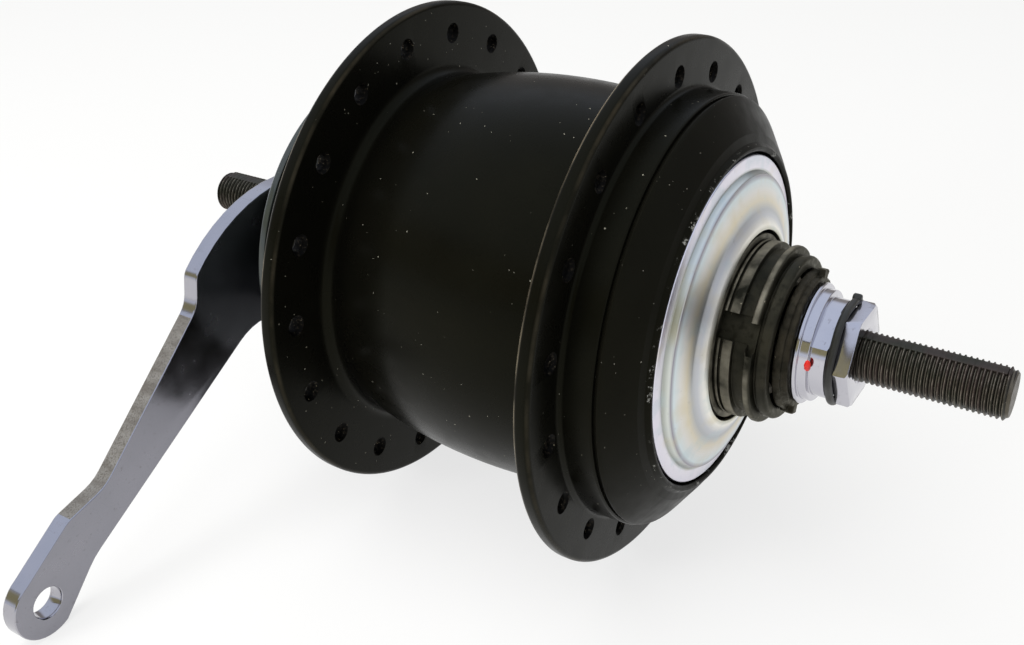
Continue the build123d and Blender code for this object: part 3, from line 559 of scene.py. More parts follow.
def zinc_plated_steel():
    """Pressed steel, zinc plated and chromated clear: silky, with turning marks, ringed by chromate tints
    and painted reflections.
    """
    drift_size, tint_size, mark_size, marks_a_mm = 12.0, 7.0, 1.8, 7.0
    band_drift = 0.4
    inner, outer = shield_tints_and_reflections[0][0], shield_tints_and_reflections[-1][0]
    material, tree, place = new_material("zinc_plated_steel")
    radius = from_axle(tree, place)[0]
    drift = add_node(tree, "TexNoise", {"Vector": place, "Scale": 1 / drift_size, "Detail": 2.0})
    wander = add_node(tree, "Math", {0: drift, 1: band_drift, 2: radius}, operation="MULTIPLY_ADD")
    across = add_node(tree, "MapRange", {
        "Value": wander, "From Min": inner + band_drift / 2, "From Max": outer + band_drift / 2})
    ramp = add_node(tree, "ValToRGB", {0: across}).node
    for i, (band, code) in enumerate(shield_tints_and_reflections):
        while len(ramp.color_ramp.elements) < len(shield_tints_and_reflections):
            ramp.color_ramp.elements.new(0.5)
        ramp.color_ramp.elements[i].position = (band - inner) / (outer - inner)
        ramp.color_ramp.elements[i].color = hex_colour(code)
    tint = add_node(tree, "TexNoise", {"Vector": place, "Scale": 1 / tint_size, "Detail": 3.0})
    warm = add_node(tree, "MapRange", {"Value": tint, "From Min": 0.54, "From Max": 0.70, "To Max": 0.3})
    colour = add_node(tree, "Mix", {"Factor": warm, "A": ramp.outputs[0], "B": "CDBE92"}, data_type="RGBA")
    cool = add_node(tree, "MapRange", {"Value": tint, "From Min": 0.44, "From Max": 0.34, "To Max": 0.3})
    colour = add_node(tree, "Mix", {"Factor": cool, "A": colour, "B": "B4C8CE"}, data_type="RGBA")
    stain = patches(tree, place, mark_size, 6.0, (0.63, 0.74), (0.0, 0.4), roughness=0.7)
    colour = add_node(tree, "Mix", {"Factor": stain, "A": colour, "B": "6E6A64"}, data_type="RGBA")
    turning = add_node(tree, "TexNoise", {
        "W": radius, "Scale": marks_a_mm, "Detail": 3.0}, noise_dimensions="1D")
    gloss = add_node(tree, "MapRange", {
        "Value": turning, "From Min": 0.3, "From Max": 0.7, "To Min": 0.28, "To Max": 0.40})
    relief = add_node(tree, "Bump", {"Height": turning, "Distance": 0.006 * MM})
    feed(tree, tree.nodes["Principled BSDF"], {
        "Base Color": colour, "Metallic": 1.0, "Roughness": gloss, "Normal": relief})
    return material


shield = turned("zinc_dust_shield", shield_outline, segments=256)
shield.data.materials.append(zinc_plated_steel())
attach(shield, "shell")
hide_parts("dust_shield")


# Driver: hardened steel sleeve that the sprocket slides on, blackened and wet with oil.
# Three slots cross its ribs for the sprocket's lugs, and the wide groove takes the sprocket's clip.
driver_outline = [
    (25.0, 9.2, 0),
    (25.0, 12.0, 0),
    (28.6, 12.0, 0),
    (28.6, 18.3, 0),
    (30.0, 20.3, 0),
    (37.4, 20.3, 0),
    (38.8, 18.1, 0),
    (43.7, 18.1, 0.2),
    (43.7, 16.3, 0.1),
    (44.2, 16.3, 0.1),
    (44.2, 17.1, 0.12),
    (44.65, 17.1, 0.12),
    (44.65, 16.3, 0.1),
    (45.15, 16.3, 0.1),
    (45.15, 17.1, 0.18),
    (46.95, 17.1, 0.18),
    (46.95, 15.8, 0.15),
    (49.4, 15.8, 0.25),
    (49.4, 17.1, 0.35),
    (50.75, 17.1, 0.6),
    (50.75, 14.9, 0.2),
    (51.4, 14.9, 0.2),
    (51.4, 15.7, 0.25),
    (53.3, 15.7, 0.7),
    (53.3, 13.45, 0.3),
    (47.6, 12.45, 0),
    (45.6, 9.2, 0),
]
slot_count = 3
slot_angle = 152.1
slot_width = 5.1
slot_floor = 15.3
slot_stations = (43.7, 49.4)
notch_stations = (49.4, 50.9)
notch_lead = 1.5
notch_reach = 2.0
notch_end_width = 1.0
driver_rib = 17.1
cutter_height = 4.0
cutter_overlap = 0.1


def oiled_steel(name, dark, worn, edge_radius):
    """Hardened steel blackened in oil: olive black, with wet grime, and paler at an edge radius as rubbed
    steel and a painted highlight.
    """
    cloud_size, grime_size, edge_width, dust_size = 5.0, 1.3, 0.22, 0.25
    material, tree, place = new_material(name)
    radius = from_axle(tree, place)[0]
    shade = patches(tree, place, cloud_size, 4.0, (0.35, 0.65))
    colour = add_node(tree, "Mix", {"Factor": shade, "A": dark, "B": worn}, data_type="RGBA")
    grime = add_node(tree, "TexNoise", {"Vector": place, "Scale": 1 / grime_size, "Detail": 5.0})
    wet = add_node(tree, "MapRange", {"Value": grime, "From Min": 0.50, "From Max": 0.64})
    thick = add_node(tree, "Math", {0: wet, 1: 0.6}, operation="MULTIPLY")
    colour = add_node(tree, "Mix", {"Factor": thick, "A": colour, "B": "12110D"}, data_type="RGBA")
    # Pale band at the edge radius, on the rib or lug tops: partly rubbed steel, partly a painted highlight.
    edge = add_node(tree, "MapRange", {
        "Value": radius, "From Min": edge_radius - edge_width, "From Max": edge_radius, "To Max": 0.55})
    rub_and_highlight = add_node(tree, "Math", {0: edge, 1: shade}, operation="MULTIPLY")
    colour = add_node(tree, "Mix", {"Factor": rub_and_highlight, "A": colour, "B": "A09A8A"}, data_type="RGBA")
    colour = dusty(tree, place, colour, "8C8674", dust_size, 0.3)
    gloss = add_node(tree, "MapRange", {"Value": wet, "To Min": 0.46, "To Max": 0.3})
    relief = add_node(tree, "Bump", {"Height": grime, "Distance": 0.03 * MM})
    feed(tree, tree.nodes["Principled BSDF"], {
        "Base Color": colour, "Metallic": 0.3, "Roughness": gloss, "Specular IOR Level": 0.2,
        "Specular Tint": "E6E0C4", "Normal": relief})
    return material


def block(name, size, location, angle=0.0):
    """A block tool: its size and place in mm, turned round the axle by an angle."""
    bpy.ops.object.select_all(action="DESELECT")
    bpy.ops.mesh.primitive_cube_add(size=1.0, location=[c * MM for c in location])
    tool = bpy.context.object
    tool.name = name
    tool.scale = [c * MM for c in size]
    bpy.ops.object.transform_apply(location=True, rotation=True, scale=True)
    tool.rotation_euler = (0, -math.radians(angle), 0)
    bpy.ops.object.transform_apply(location=True, rotation=True, scale=True)
    return tool


def prism(name, places, push):
    """A closed solid: a flat outline through places in metres, pushed along a vector."""
    piece = draw_outline(name, [*places, places[0]])
    bpy.ops.mesh.remove_doubles(threshold=merge_distance)
    bpy.ops.mesh.edge_face_add()
    bpy.ops.mesh.extrude_region_move(TRANSFORM_OT_translate={"value": push})
    bpy.ops.mesh.select_all(action="SELECT")
    bpy.ops.mesh.normals_make_consistent(inside=False)
    return place_mesh(piece)


def soften_edges(piece, width, sharp, segments=2):
    """Bevels edges sharper than an angle in degrees to a width in mm, and shades a piece smooth."""
    apply_modifier(
        piece, "BEVEL", width=width * MM, segments=segments, limit_method="ANGLE",
        angle_limit=math.radians(sharp))
    bpy.ops.object.shade_smooth_by_angle(angle=math.radians(30))


driver = turned("oiled_driver", driver_outline, segments=192)
driver.data.materials.append(oiled_steel("oil_blackened_steel", "1B1B16", "302E26", driver_rib))
slot_length = slot_stations[1] - slot_stations[0]
slot_middle = -sum(slot_stations) / 2
slot_place = (slot_floor + cutter_height / 2, slot_middle, 0)
slot = block("slot_cutter", (cutter_height, slot_length, slot_width), slot_place)
notch_middle = sum(notch_stations) / 2
notch_outline = [
    (-notch_lead, notch_stations[0] - cutter_overlap),
    (slot_width / 2, notch_stations[0] - cutter_overlap),
    (slot_width / 2 + notch_reach, notch_middle - notch_end_width / 2),
    (slot_width / 2 + notch_reach, notch_middle + notch_end_width / 2),
    (slot_width / 2, notch_stations[1]),
    (-notch_lead, notch_stations[1]),
]
notch_places = [(slot_floor * MM, -station * MM, side * MM) for side, station in notch_outline]
notch = prism("notch_cutter", notch_places, (cutter_height * MM, 0, 0))
for tool in (slot, notch):
    tool.data.materials.append(driver.data.materials[0])
    copies_round_axle(tool, slot_count, slot_angle, 360 / slot_count)
    cut(driver, tool)
soften_edges(driver, width=0.12, sharp=50)
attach(driver, "driver_unit")
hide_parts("driver")


# Shift ring: pressed steel ring with two footed lugs, which the shift cable's pulley turns.
# It lies between driver and cone in thick dark grease, which rounds its corners.
shift_outline = [
    (53.45, 10.45, 0),
    (53.45, 13.3, 0.3),
    (55.1, 13.3, 0.4),
    (55.1, 12.5, 0.1),
    (56.15, 12.5, 0.4),
    (56.15, 10.45, 0),
]
foot_size = (2.0, 1.5, 4.6)
foot_middle = (12.7, -54.4, 0)
lug_size = (2.5, 1.95, 3.0)
lug_middle = (12.7, -55.2, 0)
lug_angle = 64.0
lug_rounding = 0.45
# Radius of the lug tops, where the ring's pale band of rubbed steel and painted highlight lies.
rub_and_highlight_radius = 13.9
grease_grain = 0.16
grease_lump = 1.5
grease_depth = 0.25
shift_ring = turned("greased_shift_ring", shift_outline, segments=128)
foot = block("shift_foot", foot_size, foot_middle)
lug = block("shift_lug", lug_size, lug_middle)
for one in (foot, lug):
    apply_modifier(one, "BEVEL", width=lug_rounding * MM, segments=3)
    copies_round_axle(one, 2, lug_angle, 180)
join_pieces([shift_ring, foot, lug])
apply_modifier(shift_ring, "REMESH", mode="VOXEL", voxel_size=grease_grain * MM)
lumps = bpy.data.textures.new("grease_lumps", "CLOUDS")
lumps.noise_scale = grease_lump * MM
apply_modifier(shift_ring, "DISPLACE", texture=lumps, strength=grease_depth * MM, mid_level=0.75)
bpy.ops.object.shade_smooth()
shift_ring.data.materials.clear()
greased_steel = oiled_steel("greased_pressed_steel", "1B1914", "322E26", rub_and_highlight_radius)
shift_ring.data.materials.append(greased_steel)
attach(shift_ring, "shift_body")
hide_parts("shift_ring")


# Right cone: turned steel, chromed, with a collar, a step and two flats for a cone wrench.
# Its race, in the dark inside the driver, is ground. A dab of red paint marks its setting.
cone_outline = [
    (44.0, 4.8, 0),
    (44.0, 8.6, 0),
    (45.6, 8.6, 0),
    (47.6, 10.0, 0),
    (53.2, 10.0, 0.1),
    (53.2, 10.4, 0.1),
    (56.5, 10.4, 0.1),
    (56.5, 11.55, 0.25),
    (57.2, 11.55, 0.3),
    (57.2, 10.6, 0.15),
    (58.9, 10.6, 0.3),
    (58.9, 9.35, 0.15),
    (61.8, 9.35, 0.3),
    (61.8, 4.8, 0),
]
cone_flats = 17.0
cone_flat_angle = 129.0
cone_flat_stations = (58.9, 62.0)
flat_depth = 3.0
flat_reach = 22.0
dab_middle = (-10.3, -58.95, 1.2)
dab_size = 0.85
dab_spread = (0.6, 0.75, 1.25)
dab_lump = 0.4
dab_unevenness = 0.3


def chromed_steel(name, clear, hazed, mark, gloss_range):
    """Steel, polished and chromed: it mirrors the room, hazed by handling and finely scratched."""
    haze_size, stain_size, scratch_size, swell_size = 6.0, 1.8, 0.5, 1.4
    scratches_a_mm_along = 0.06
    material, tree, place = new_material(name)
    haze = add_node(tree, "TexNoise", {"Vector": place, "Scale": 1 / haze_size, "Detail": 4.0})
    colour = add_node(tree, "Mix", {"Factor": haze, "A": clear, "B": hazed}, data_type="RGBA")
    stain = patches(tree, place, stain_size, 6.0, (0.60, 0.72), (0.0, 0.5), roughness=0.7)
    colour = add_node(tree, "Mix", {"Factor": stain, "A": colour, "B": mark}, data_type="RGBA")
    lines = add_node(tree, "Mapping", {
        "Vector": place, "Scale": (1 / scratch_size, scratches_a_mm_along, 1 / scratch_size)})
    scratched = patches(tree, lines, 1.0, 3.0, (0.68, 0.74), (0.0, 0.35))
    colour = add_node(tree, "Mix", {"Factor": scratched, "A": colour, "B": mark}, data_type="RGBA")
    gloss = add_node(tree, "MapRange", {
        "Value": haze, "From Min": 0.3, "From Max": 0.7,
        "To Min": gloss_range[0], "To Max": gloss_range[1]})
    swell = add_node(tree, "TexNoise", {"Vector": place, "Scale": 1 / swell_size, "Detail": 2.0})
    relief = add_node(tree, "Bump", {"Height": swell, "Distance": 0.004 * MM})
    feed(tree, tree.nodes["Principled BSDF"], {
        "Base Color": colour, "Metallic": 1.0, "Roughness": gloss, "Normal": relief})
    return material


def red_marking_paint():
    """Red enamel dabbed on by hand: thick, glossy and bright."""
    material, tree, place = new_material("red_marking_paint")
    uneven = add_node(tree, "TexNoise", {"Vector": place, "Scale": 1 / dab_lump, "Detail": 2.0})
    colour = add_node(tree, "Mix", {"Factor": uneven, "A": "C81410", "B": "F0301C"}, data_type="RGBA")
    relief = add_node(tree, "Bump", {"Height": uneven, "Distance": 0.05 * MM})
    feed(tree, tree.nodes["Principled BSDF"], {"Base Color": colour, "Roughness": 0.3, "Normal": relief})
    return material


chrome = chromed_steel("bright_chrome", "B7B7C0", "C8C6CC", "77706C", (0.07, 0.16))
cone = turned("chromed_cone", cone_outline, segments=128)
cone.data.materials.append(chrome)
flat_length = cone_flat_stations[1] - cone_flat_stations[0]
flat_middle = -sum(cone_flat_stations) / 2
for angle in (cone_flat_angle, cone_flat_angle + 180):
    place = ((cone_flats + flat_depth) / 2, flat_middle, 0)
    waste = block("flat_cutter", (flat_depth, flat_length, flat_reach), place, angle)
    waste.data.materials.append(chrome)
    cut(cone, waste)
soften_edges(cone, width=0.1, sharp=40)
bpy.ops.object.select_all(action="DESELECT")
bpy.ops.mesh.primitive_uv_sphere_add(
    segments=24, ring_count=12, radius=dab_size * MM, location=[c * MM for c in dab_middle])
dab = bpy.context.object
dab.name = "red_paint_dab"
dab.scale = dab_spread
bpy.ops.object.transform_apply(location=True, rotation=True, scale=True)
uneven_edge = bpy.data.textures.new("dab_edge", "CLOUDS")
uneven_edge.noise_scale = dab_lump * MM
apply_modifier(dab, "DISPLACE", texture=uneven_edge, strength=dab_unevenness * MM)
bpy.ops.object.shade_smooth()
dab.data.materials.append(red_marking_paint())
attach(dab, "axle_unit")
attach(cone, "axle_unit")
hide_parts("right_cone")


# Rubber ring: a moulded ring stretched over the lock nut's corners, with a nub to pull it by.
# It lies between cone and nut, drawn flatter along each of the nut's six sides.
nut_corner_angle = 58.3
rubber_middle = 62.6
rubber_flat = 9.15
rubber_corner = 6.5
rubber_section = 0.74
nub_place = 10.0
nub_angle = 66.0
nub_size = 0.85
nub_rounding = 0.4
rubber_grain = 0.12


def black_rubber():
    """Moulded black rubber, oily from the cone, so that it shines softly."""
    grime_size, skin_size = 1.2, 0.4
    material, tree, place = new_material("moulded_black_rubber")
    grime = add_node(tree, "TexNoise", {"Vector": place, "Scale": 1 / grime_size, "Detail": 4.0})
    colour = add_node(tree, "Mix", {"Factor": grime, "A": "14140F", "B": "24231D"}, data_type="RGBA")
    skin = add_node(tree, "TexNoise", {"Vector": place, "Scale": 1 / skin_size, "Detail": 3.0})
    relief = add_node(tree, "Bump", {"Height": skin, "Distance": 0.03 * MM})
    feed(tree, tree.nodes["Principled BSDF"], {"Base Color": colour, "Roughness": 0.4, "Normal": relief})
    return material


corner_reach = rubber_flat / math.cos(math.radians(30))
corners = [math.radians(nut_corner_angle + 60 * i) for i in range(6)]
hexagon = [(corner_reach * math.cos(a), corner_reach * math.sin(a), rubber_corner) for a in corners]
path = [(p.x * MM, -rubber_middle * MM, p.y * MM) for p in rounded(hexagon, step=5.0)]
rubber = draw_outline("rubber_ring", [*path, path[0]])
bpy.ops.mesh.remove_doubles(threshold=merge_distance)
bpy.ops.object.mode_set(mode="OBJECT")
bpy.ops.object.convert(target="CURVE")
rubber = bpy.context.object
rubber.data.bevel_depth = rubber_section * MM
rubber.data.bevel_resolution = 6
bpy.ops.object.convert(target="MESH")
rubber = bpy.context.object
bpy.ops.object.transform_apply(location=True, rotation=True, scale=True)
bpy.ops.object.select_all(action="DESELECT")
bpy.ops.mesh.primitive_cylinder_add(
    vertices=24, radius=nub_size * MM, depth=2 * nub_size * MM, rotation=(math.radians(90), 0, 0),
    location=(nub_place * MM, -rubber_middle * MM, 0))
nub = bpy.context.object
apply_modifier(nub, "BEVEL", width=nub_rounding * MM, segments=4, limit_method="ANGLE")
bpy.ops.object.transform_apply(location=True, rotation=True, scale=True)
copies_round_axle(nub, 1, nub_angle, 0)
join_pieces([rubber, nub])
apply_modifier(rubber, "REMESH", mode="VOXEL", voxel_size=rubber_grain * MM)
bpy.ops.object.shade_smooth()
rubber.data.materials.append(black_rubber())
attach(rubber, "axle_unit")
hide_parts("cone_o_ring")


# Lock nuts: chromed hexagons with bevelled corners, one on each end of the axle.
# The right one has a spigot that carries the rubber ring, and the left one clamps the brake arm.
across_flats = 17.0
corner_radius = across_flats / math.sqrt(3)
bevel_radius = 9.35
thread_hole = 4.8
left_corner_angle = 74.0
plane_tolerance = 1e-6
right_nut_outline = [
    (61.8, thread_hole, 0),
    (61.8, 8.3, 0.2),
    (63.4, 8.3, 0),
    (63.4, corner_radius, 0.1),
    (65.53, corner_radius, 0.1),
    (66.0, bevel_radius, 0.15),
    (66.0, thread_hole + 0.5, 0.1),
    (65.5, thread_hole, 0.1),
]
left_nut_outline = [
    (-63.0, thread_hole, 0),
    (-63.0, corner_radius, 0.1),
    (-65.53, corner_radius, 0.1),
    (-66.0, bevel_radius, 0.15),
    (-66.0, thread_hole + 0.5, 0.1),
    (-65.5, thread_hole, 0.1),
]


def flatten(piece, distance, angle):
    """Planes a piece flat at a distance from the axle, on the side at an angle."""
    turn = math.radians(angle)
    normal = Vector((math.cos(turn), 0, math.sin(turn)))
    select_only(piece)
    bpy.ops.object.mode_set(mode="EDIT")
    bpy.ops.mesh.select_all(action="SELECT")
    bpy.ops.mesh.bisect(
        plane_co=normal * distance * MM, plane_no=normal, use_fill=True, clear_outer=True,
        threshold=plane_tolerance)
    bpy.ops.object.mode_set(mode="OBJECT")


for name, outline, first, node in (
    ("right_hexagon_nut", right_nut_outline, nut_corner_angle, "right_lock_nut"),
    ("left_hexagon_nut", left_nut_outline, left_corner_angle, "left_lock_nut"),
):
    nut = turned(name, outline, segments=96)
    for side in range(6):
        flatten(nut, across_flats / 2, first + 30 + 60 * side)
    soften_edges(nut, width=0.14, sharp=40)
    nut.data.materials.append(chrome)
    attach(nut, "axle_unit")
    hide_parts(node)


# Axle: steel with a rolled 26 to the inch thread on both ends, blackened by oxide.
# Two flats on each end stop it turning in the frame, and its tips are chamfered.
# The thread is rolled over the flats and barely marks them, so a bar fills its grooves there.
thread_crest = 9.525 / 2
thread_pitch = 25.4 / 26
thread_depth = 0.60
flat_distance = 4.45
flat_bar = (2.5, 2 * flat_distance - 0.04)
tip_chamfer = 0.8
thread_steps = 64
tip_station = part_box("axle")[1].y / MM
threaded_from = 60.0
thread_profile = [
    (0.0, thread_depth),
    (0.10, thread_depth),
    (0.44, 0.03),
    (0.49, 0.0),
    (0.53, 0.0),
    (0.58, 0.03),
    (0.92, thread_depth),
    (thread_pitch, thread_depth),
]
core_outline = [
    (-60.0, 0, 0),
    (-60.0, 4.1, 0),
    (-39.0, 4.1, 0),
    (-39.0, 6.0, 0.2),
    (44.0, 6.0, 0.2),
    (44.0, 4.1, 0),
    (60.0, 4.1, 0),
    (60.0, 0, 0),
]


def blackened_thread():
    """Rolled steel thread under dark oxide: black, oily flanks, crests painted lighter as a highlight, a
    painted highlight line in each root and worn crest tops.
    """
    wear_size, patch_size, dust_size = 1.3, 6.0, 0.2
    material, tree, place = new_material("oxide_black_thread")
    radius = from_axle(tree, place)[0]
    # Colour by radius: near black down the flanks, lighter brown towards the crests as a painted highlight.
    crest = add_node(tree, "MapRange", {
        "Value": radius, "From Min": thread_crest - thread_depth, "From Max": thread_crest})
    oxide = patches(tree, place, patch_size, 2.0, (0.42, 0.58))
    brown = add_node(tree, "Mix", {"Factor": oxide, "A": "3B3A2E", "B": "4A3F38"}, data_type="RGBA")
    colour = add_node(tree, "Mix", {"Factor": crest, "A": "0B0A07", "B": brown}, data_type="RGBA")
    # A painted highlight line along the bottom of each root.
    root = add_node(tree, "MapRange", {"Value": crest, "From Min": 0.12, "From Max": 0.04, "To Max": 0.6})
    colour = add_node(tree, "Mix", {"Factor": root, "A": colour, "B": "6E675A"}, data_type="RGBA")
    # Pale crest tops: partly worn bare, partly a painted highlight.
    wear = patches(tree, place, wear_size, 4.0, (0.4, 0.65), (0.0, 0.75))
    top = add_node(tree, "MapRange", {"Value": crest, "From Min": 0.9, "From Max": 1.0})
    crest_wear_and_highlight = add_node(tree, "Math", {0: top, 1: wear}, operation="MULTIPLY")
    colour = add_node(tree, "Mix", {"Factor": crest_wear_and_highlight, "A": colour, "B": "93897C"}, data_type="RGBA")
    colour = dusty(tree, place, colour, "8A8478", dust_size, 0.3)
    gloss = add_node(tree, "MapRange", {"Value": wear, "To Min": 0.5, "To Max": 0.36})
    feed(tree, tree.nodes["Principled BSDF"], {"Base Color": colour, "Metallic": 0.6, "Roughness": gloss})
    return material


def threaded_end(direction):
    """One end of the axle: a thread profile screwed along it, trimmed, chamfered and flattened."""
    start = direction * threaded_from - thread_pitch
    places = [((thread_crest - depth) * MM, (start + along) * MM, 0) for along, depth in thread_profile]
    if direction < 0:
        places = [(x, y - (tip_station - threaded_from) * MM, z) for x, y, z in places]
    end = draw_outline("threaded_end", places)
    bpy.ops.object.mode_set(mode="OBJECT")
    bpy.ops.object.transform_apply(location=True, rotation=True, scale=True)
    turns = math.ceil((tip_station - threaded_from) / thread_pitch) + 2
    apply_modifier(
        end, "SCREW", axis="Y", screw_offset=thread_pitch * MM, iterations=turns,
        steps=thread_steps, render_steps=thread_steps,
        use_merge_vertices=True, merge_threshold=merge_distance, use_normal_calculate=True)
    bpy.ops.object.mode_set(mode="EDIT")
    for station, side in ((threaded_from, -1), (tip_station, 1)):
        bpy.ops.mesh.select_all(action="SELECT")
        middle, normal = (0, direction * station * MM, 0), (0, direction * side, 0)
        bpy.ops.mesh.bisect(
            plane_co=middle, plane_no=normal, use_fill=True, clear_outer=True,
            threshold=plane_tolerance)
    bpy.ops.mesh.select_all(action="SELECT")
    bpy.ops.mesh.normals_make_consistent(inside=False)
    bpy.ops.object.mode_set(mode="OBJECT")
    for vertex in end.data.vertices:
        radius = math.hypot(vertex.co.x, vertex.co.z)
        room = tip_station - abs(vertex.co.y) / MM
        limit = (thread_crest - max(0.0, tip_chamfer - room)) * MM
        if radius > limit:
            vertex.co.x *= limit / radius
            vertex.co.z *= limit / radius
    for angle in (90, 270):
        flatten(end, flat_distance, angle)
    bar_length = tip_station - threaded_from - 2 * tip_chamfer
    bar_middle = direction * (threaded_from + bar_length / 2)
    bar = block("flat_bar", (flat_bar[0], bar_length, flat_bar[1]), (0, bar_middle, 0))
    join_pieces([end, bar])
    return end


shaft = turned("threaded_axle", core_outline, segments=96)
join_pieces([shaft, threaded_end(-1), threaded_end(1)])
bpy.ops.object.shade_smooth_by_angle(angle=math.radians(40))
shaft.data.materials.append(blackened_thread())
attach(shaft, "axle_unit")
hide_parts("axle")


# Left dust cap: steel pressed to a shallow dome between the brake arm and the shell.
# It is painted dark grey, and stands still with the arm.
left_cap_outline = [
    (-59.2, 11.02, 0),
    (-59.2, 23.2, 0.8),
    (-57.2, 25.6, 1.2),
    (-52.2, 31.6, 2.0),
    (-48.0, 36.4, 0.5),
    (-46.6, 36.4, 0.2),
    (-46.6, 35.2, 0),
    (-48.0, 34.6, 0),
    (-51.0, 30.4, 0),
    (-56.0, 24.4, 0),
    (-58.0, 22.0, 0),
    (-58.0, 11.02, 0),
]


def grey_painted_steel():
    """Pressed steel under glossy dark grey paint, a little dusty."""
    cloud_size, dust_size, peel_size = 8.0, 0.22, 0.9
    material, tree, place = new_material("grey_painted_pressing")
    cloud = add_node(tree, "TexNoise", {"Vector": place, "Scale": 1 / cloud_size, "Detail": 4.0})
    colour = add_node(tree, "Mix", {"Factor": cloud, "A": "2C302E", "B": "3A3F3C"}, data_type="RGBA")
    colour = dusty(tree, place, colour, "8D8B84", dust_size, 0.2)
    peel = add_node(tree, "TexNoise", {"Vector": place, "Scale": 1 / peel_size, "Detail": 2.0})
    gloss = add_node(tree, "MapRange", {
        "Value": cloud, "From Min": 0.3, "From Max": 0.7, "To Min": 0.12, "To Max": 0.2})
    relief = add_node(tree, "Bump", {"Height": peel, "Distance": 0.005 * MM})
    feed(tree, tree.nodes["Principled BSDF"], {
        "Base Color": colour, "Roughness": gloss, "Specular IOR Level": 0.5, "Normal": relief})
    return material


left_cap = turned("pressed_left_cap", left_cap_outline, segments=192)
left_cap.data.materials.append(grey_painted_steel())
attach(left_cap, "axle_unit")
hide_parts("left_dust_cap")


# Brake arm: 3.8 mm steel plate, blanked in a press, polished and chromed.
# It is held by two flats on the cone's boss, and a clip on the frame takes its round eye.
# Outline points are distance along the arm, distance above its middle line and rounding, in mm.
arm_inner_face = 59.2
arm_thickness = 3.8
arm_reach = 102.3
eye_radius = 7.5
eye_hole = 3.25
head_radius = 15.0
head_ends = (-92.4, -245.9)
crown_start = (5.5, 18.9)
crown_top = (21.0, 23.9)
shoulder = (36.8, 22.2)
boss_radius = 9.02
boss_flats = 14.04
sheared_stretch = (44.0, 87.0)
sheared_above = 3.5
face_slope, edge_slope = 0.9, 0.5
punch_overrun = 1.0
arm_drop = math.asin((flange_radius - eye_radius) / arm_reach)
arm_line = Vector((-math.cos(arm_drop), 0, -math.sin(arm_drop)))
arm_side = Vector((-math.sin(arm_drop), 0, math.cos(arm_drop)))


def arc_points(middle, radius, first, last, count):
    """Outline points on an arc round a middle, between two angles in degrees."""
    turns = [math.radians(first + (last - first) * i / count) for i in range(count + 1)]
    return [(middle[0] + radius * math.cos(t), middle[1] + radius * math.sin(t), 0) for t in turns]


def arm_plate(name, outline, first_face, thickness):
    """A plate with the arm's tilt, from its outline of (along, side, rounding) points."""
    face = Vector((0, first_face * MM, 0))
    places = [(arm_line * p.x + arm_side * p.y) * MM + face for p in rounded(outline, 9.0)]
    return prism(name, places, (0, thickness * MM, 0))


def sheared_steel():
    """The arm's edge as the press sheared it, under the chrome: a rough, pale, grainy band."""
    grain_size, streak_size = 0.35, 1.6
    material, tree, place = new_material("sheared_chromed_edge")
    streaks = add_node(tree, "Mapping", {"Vector": place, "Scale": (1.0, 0.3, 1.0)})
    share = patches(tree, streaks, streak_size, 6.0, (0.35, 0.65))
    colour = add_node(tree, "Mix", {"Factor": share, "A": "857E74", "B": "A09A90"}, data_type="RGBA")
    grain = add_node(tree, "TexNoise", {"Vector": place, "Scale": 1 / grain_size, "Detail": 3.0})
    dark = add_node(tree, "MapRange", {"Value": grain, "From Min": 0.5, "From Max": 0.62, "To Max": 0.7})
    colour = add_node(tree, "Mix", {"Factor": dark, "A": colour, "B": "6F675C"}, data_type="RGBA")
    relief = add_node(tree, "Bump", {"Height": grain, "Distance": 0.12 * MM})
    feed(tree, tree.nodes["Principled BSDF"], {
        "Base Color": colour, "Metallic": 0.8, "Roughness": 0.45, "Normal": relief})
    return material


arm_outline = [
    (*crown_start, 0),
    *arc_through(crown_start, crown_top, shoulder, 8),
    (*shoulder, 3.2),
    (40.9, 16.6, 6.5),
    (79.3, 6.7, 9.0),
    (89.0, 9.2, 4.0),
    *arc_points((arm_reach, 0), eye_radius, 90, -90, 20),
    (90.5, -3.2, 14.0),
    (31.6, 0.0, 14.0),
    (13.7, -15.6, 8.0),
    *arc_points((0, 0), head_radius, *head_ends, 18),
]
boss_turn = math.degrees(math.acos(boss_flats / 2 / boss_radius))
satin_chrome = chromed_steel("satin_chrome", "86868D", "93929A", "5E5A58", (0.18, 0.28))
arm = arm_plate("chromed_brake_arm", arm_outline, arm_inner_face, arm_thickness)
arm.data.materials.append(satin_chrome)
openings = [
    arc_points((arm_reach, 0), eye_hole, 0, 360, 32)[1:],
    arc_points((0, 0), boss_radius, boss_turn, 180 - boss_turn, 10)
    + arc_points((0, 0), boss_radius, 180 + boss_turn, 360 - boss_turn, 10),
]
for opening in openings:
    punch = arm_plate(
        "punch", opening, arm_inner_face - punch_overrun, arm_thickness + 2 * punch_overrun)
    punch.data.materials.append(satin_chrome)
    cut(arm, punch)
soften_edges(arm, width=0.35, sharp=50, segments=3)
arm.data.materials.append(chromed_steel("edge_chrome", "A4A4AC", "B2B0B6", "77706C", (0.1, 0.2)))
arm.data.materials.append(sheared_steel())
for face in arm.data.polygons:
    slope = abs(face.normal.y)
    along = face.center.dot(arm_line) / MM
    above = face.center.dot(arm_side) / MM
    if slope < face_slope:
        face.material_index = 1
    if slope < edge_slope and sheared_stretch[0] < along < sheared_stretch[1] and above > sheared_above:
        face.material_index = 2
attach(arm, "axle_unit")
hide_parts("brake_arm")


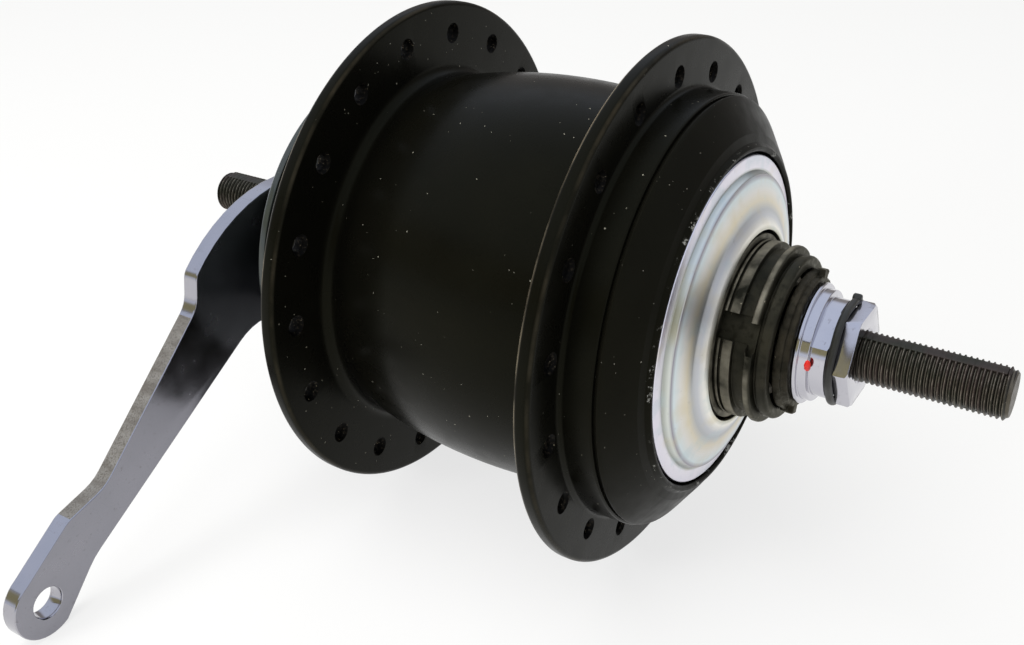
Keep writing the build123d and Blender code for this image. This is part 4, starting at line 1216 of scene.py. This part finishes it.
# Gears and races inside: alloy steel, carburised, hardened and ground, under a film of grease.
# The left cone's boss, which carries the brake arm, is the only one that shows from outside.
ground_nodes = ["brake_cone", "large_sun_gear", "small_sun_gear", "sun_spacer", "ring_gear"]
ground_nodes += ["planet_carrier", "planet_pins", "planet_gear_1", "planet_gear_2", "planet_gear_3"]
ground_nodes += ["brake_drum_sleeve", "left_bearing_cup", "right_ball_ring", "brake_cam"]


def inner_steel(name, dark, light, gloss, mark_size, mark_depth):
    """Steel inside the hub: its colour varies softly, and its working marks catch the light."""
    cloud_size, gloss_spread = 5.0, 0.06
    material, tree, place = new_material(name)
    cloud = add_node(tree, "TexNoise", {"Vector": place, "Scale": 1 / cloud_size, "Detail": 4.0})
    colour = add_node(tree, "Mix", {"Factor": cloud, "A": dark, "B": light}, data_type="RGBA")
    marks = add_node(tree, "TexNoise", {"Vector": place, "Scale": 1 / mark_size, "Detail": 3.0})
    spread = add_node(tree, "MapRange", {
        "Value": marks, "To Min": gloss - gloss_spread, "To Max": gloss + gloss_spread})
    relief = add_node(tree, "Bump", {"Height": marks, "Distance": mark_depth * MM})
    feed(tree, tree.nodes["Principled BSDF"], {
        "Base Color": colour, "Metallic": 1.0, "Roughness": spread, "Normal": relief})
    return material


def finish_nodes(nodes, material):
    """Gives one material to all the slots of some of the CAD's own pieces."""
    for node in nodes:
        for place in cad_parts[node].material_slots:
            place.material = material


finish_nodes(ground_nodes, inner_steel("ground_gear_steel", "77777A", "97979A", 0.30, 0.4, 0.006))


# Balls and rollers: through-hardened bearing steel, lapped to a mirror and lightly greased.
# They run in cages pressed from strip.
bearings = ("left_bearing", "driver_bearing", "right_bearing")
ball_nodes = [name + "_balls" for name in bearings] + ["clutch_rollers"]
cage_nodes = ["left_ball_cage", "driver_ball_cage", "right_ball_cage", "clutch_cage"]
finish_nodes(ball_nodes, inner_steel("lapped_bearing_steel", "A9A9AE", "BEBEC2", 0.12, 0.3, 0.001))
finish_nodes(cage_nodes, inner_steel("pressed_cage_strip", "8B8577", "A39C8C", 0.36, 0.8, 0.012))


# Brake shoes: three sintered bronze shoes that the cam presses against the drum.
# Sintering leaves them finely porous, and they darken with brake grease.
shoe_nodes = ["brake_shoe_1", "brake_shoe_2", "brake_shoe_3"]
finish_nodes(shoe_nodes, inner_steel("sintered_bronze", "7C5A30", "A67F48", 0.48, 0.25, 0.03))
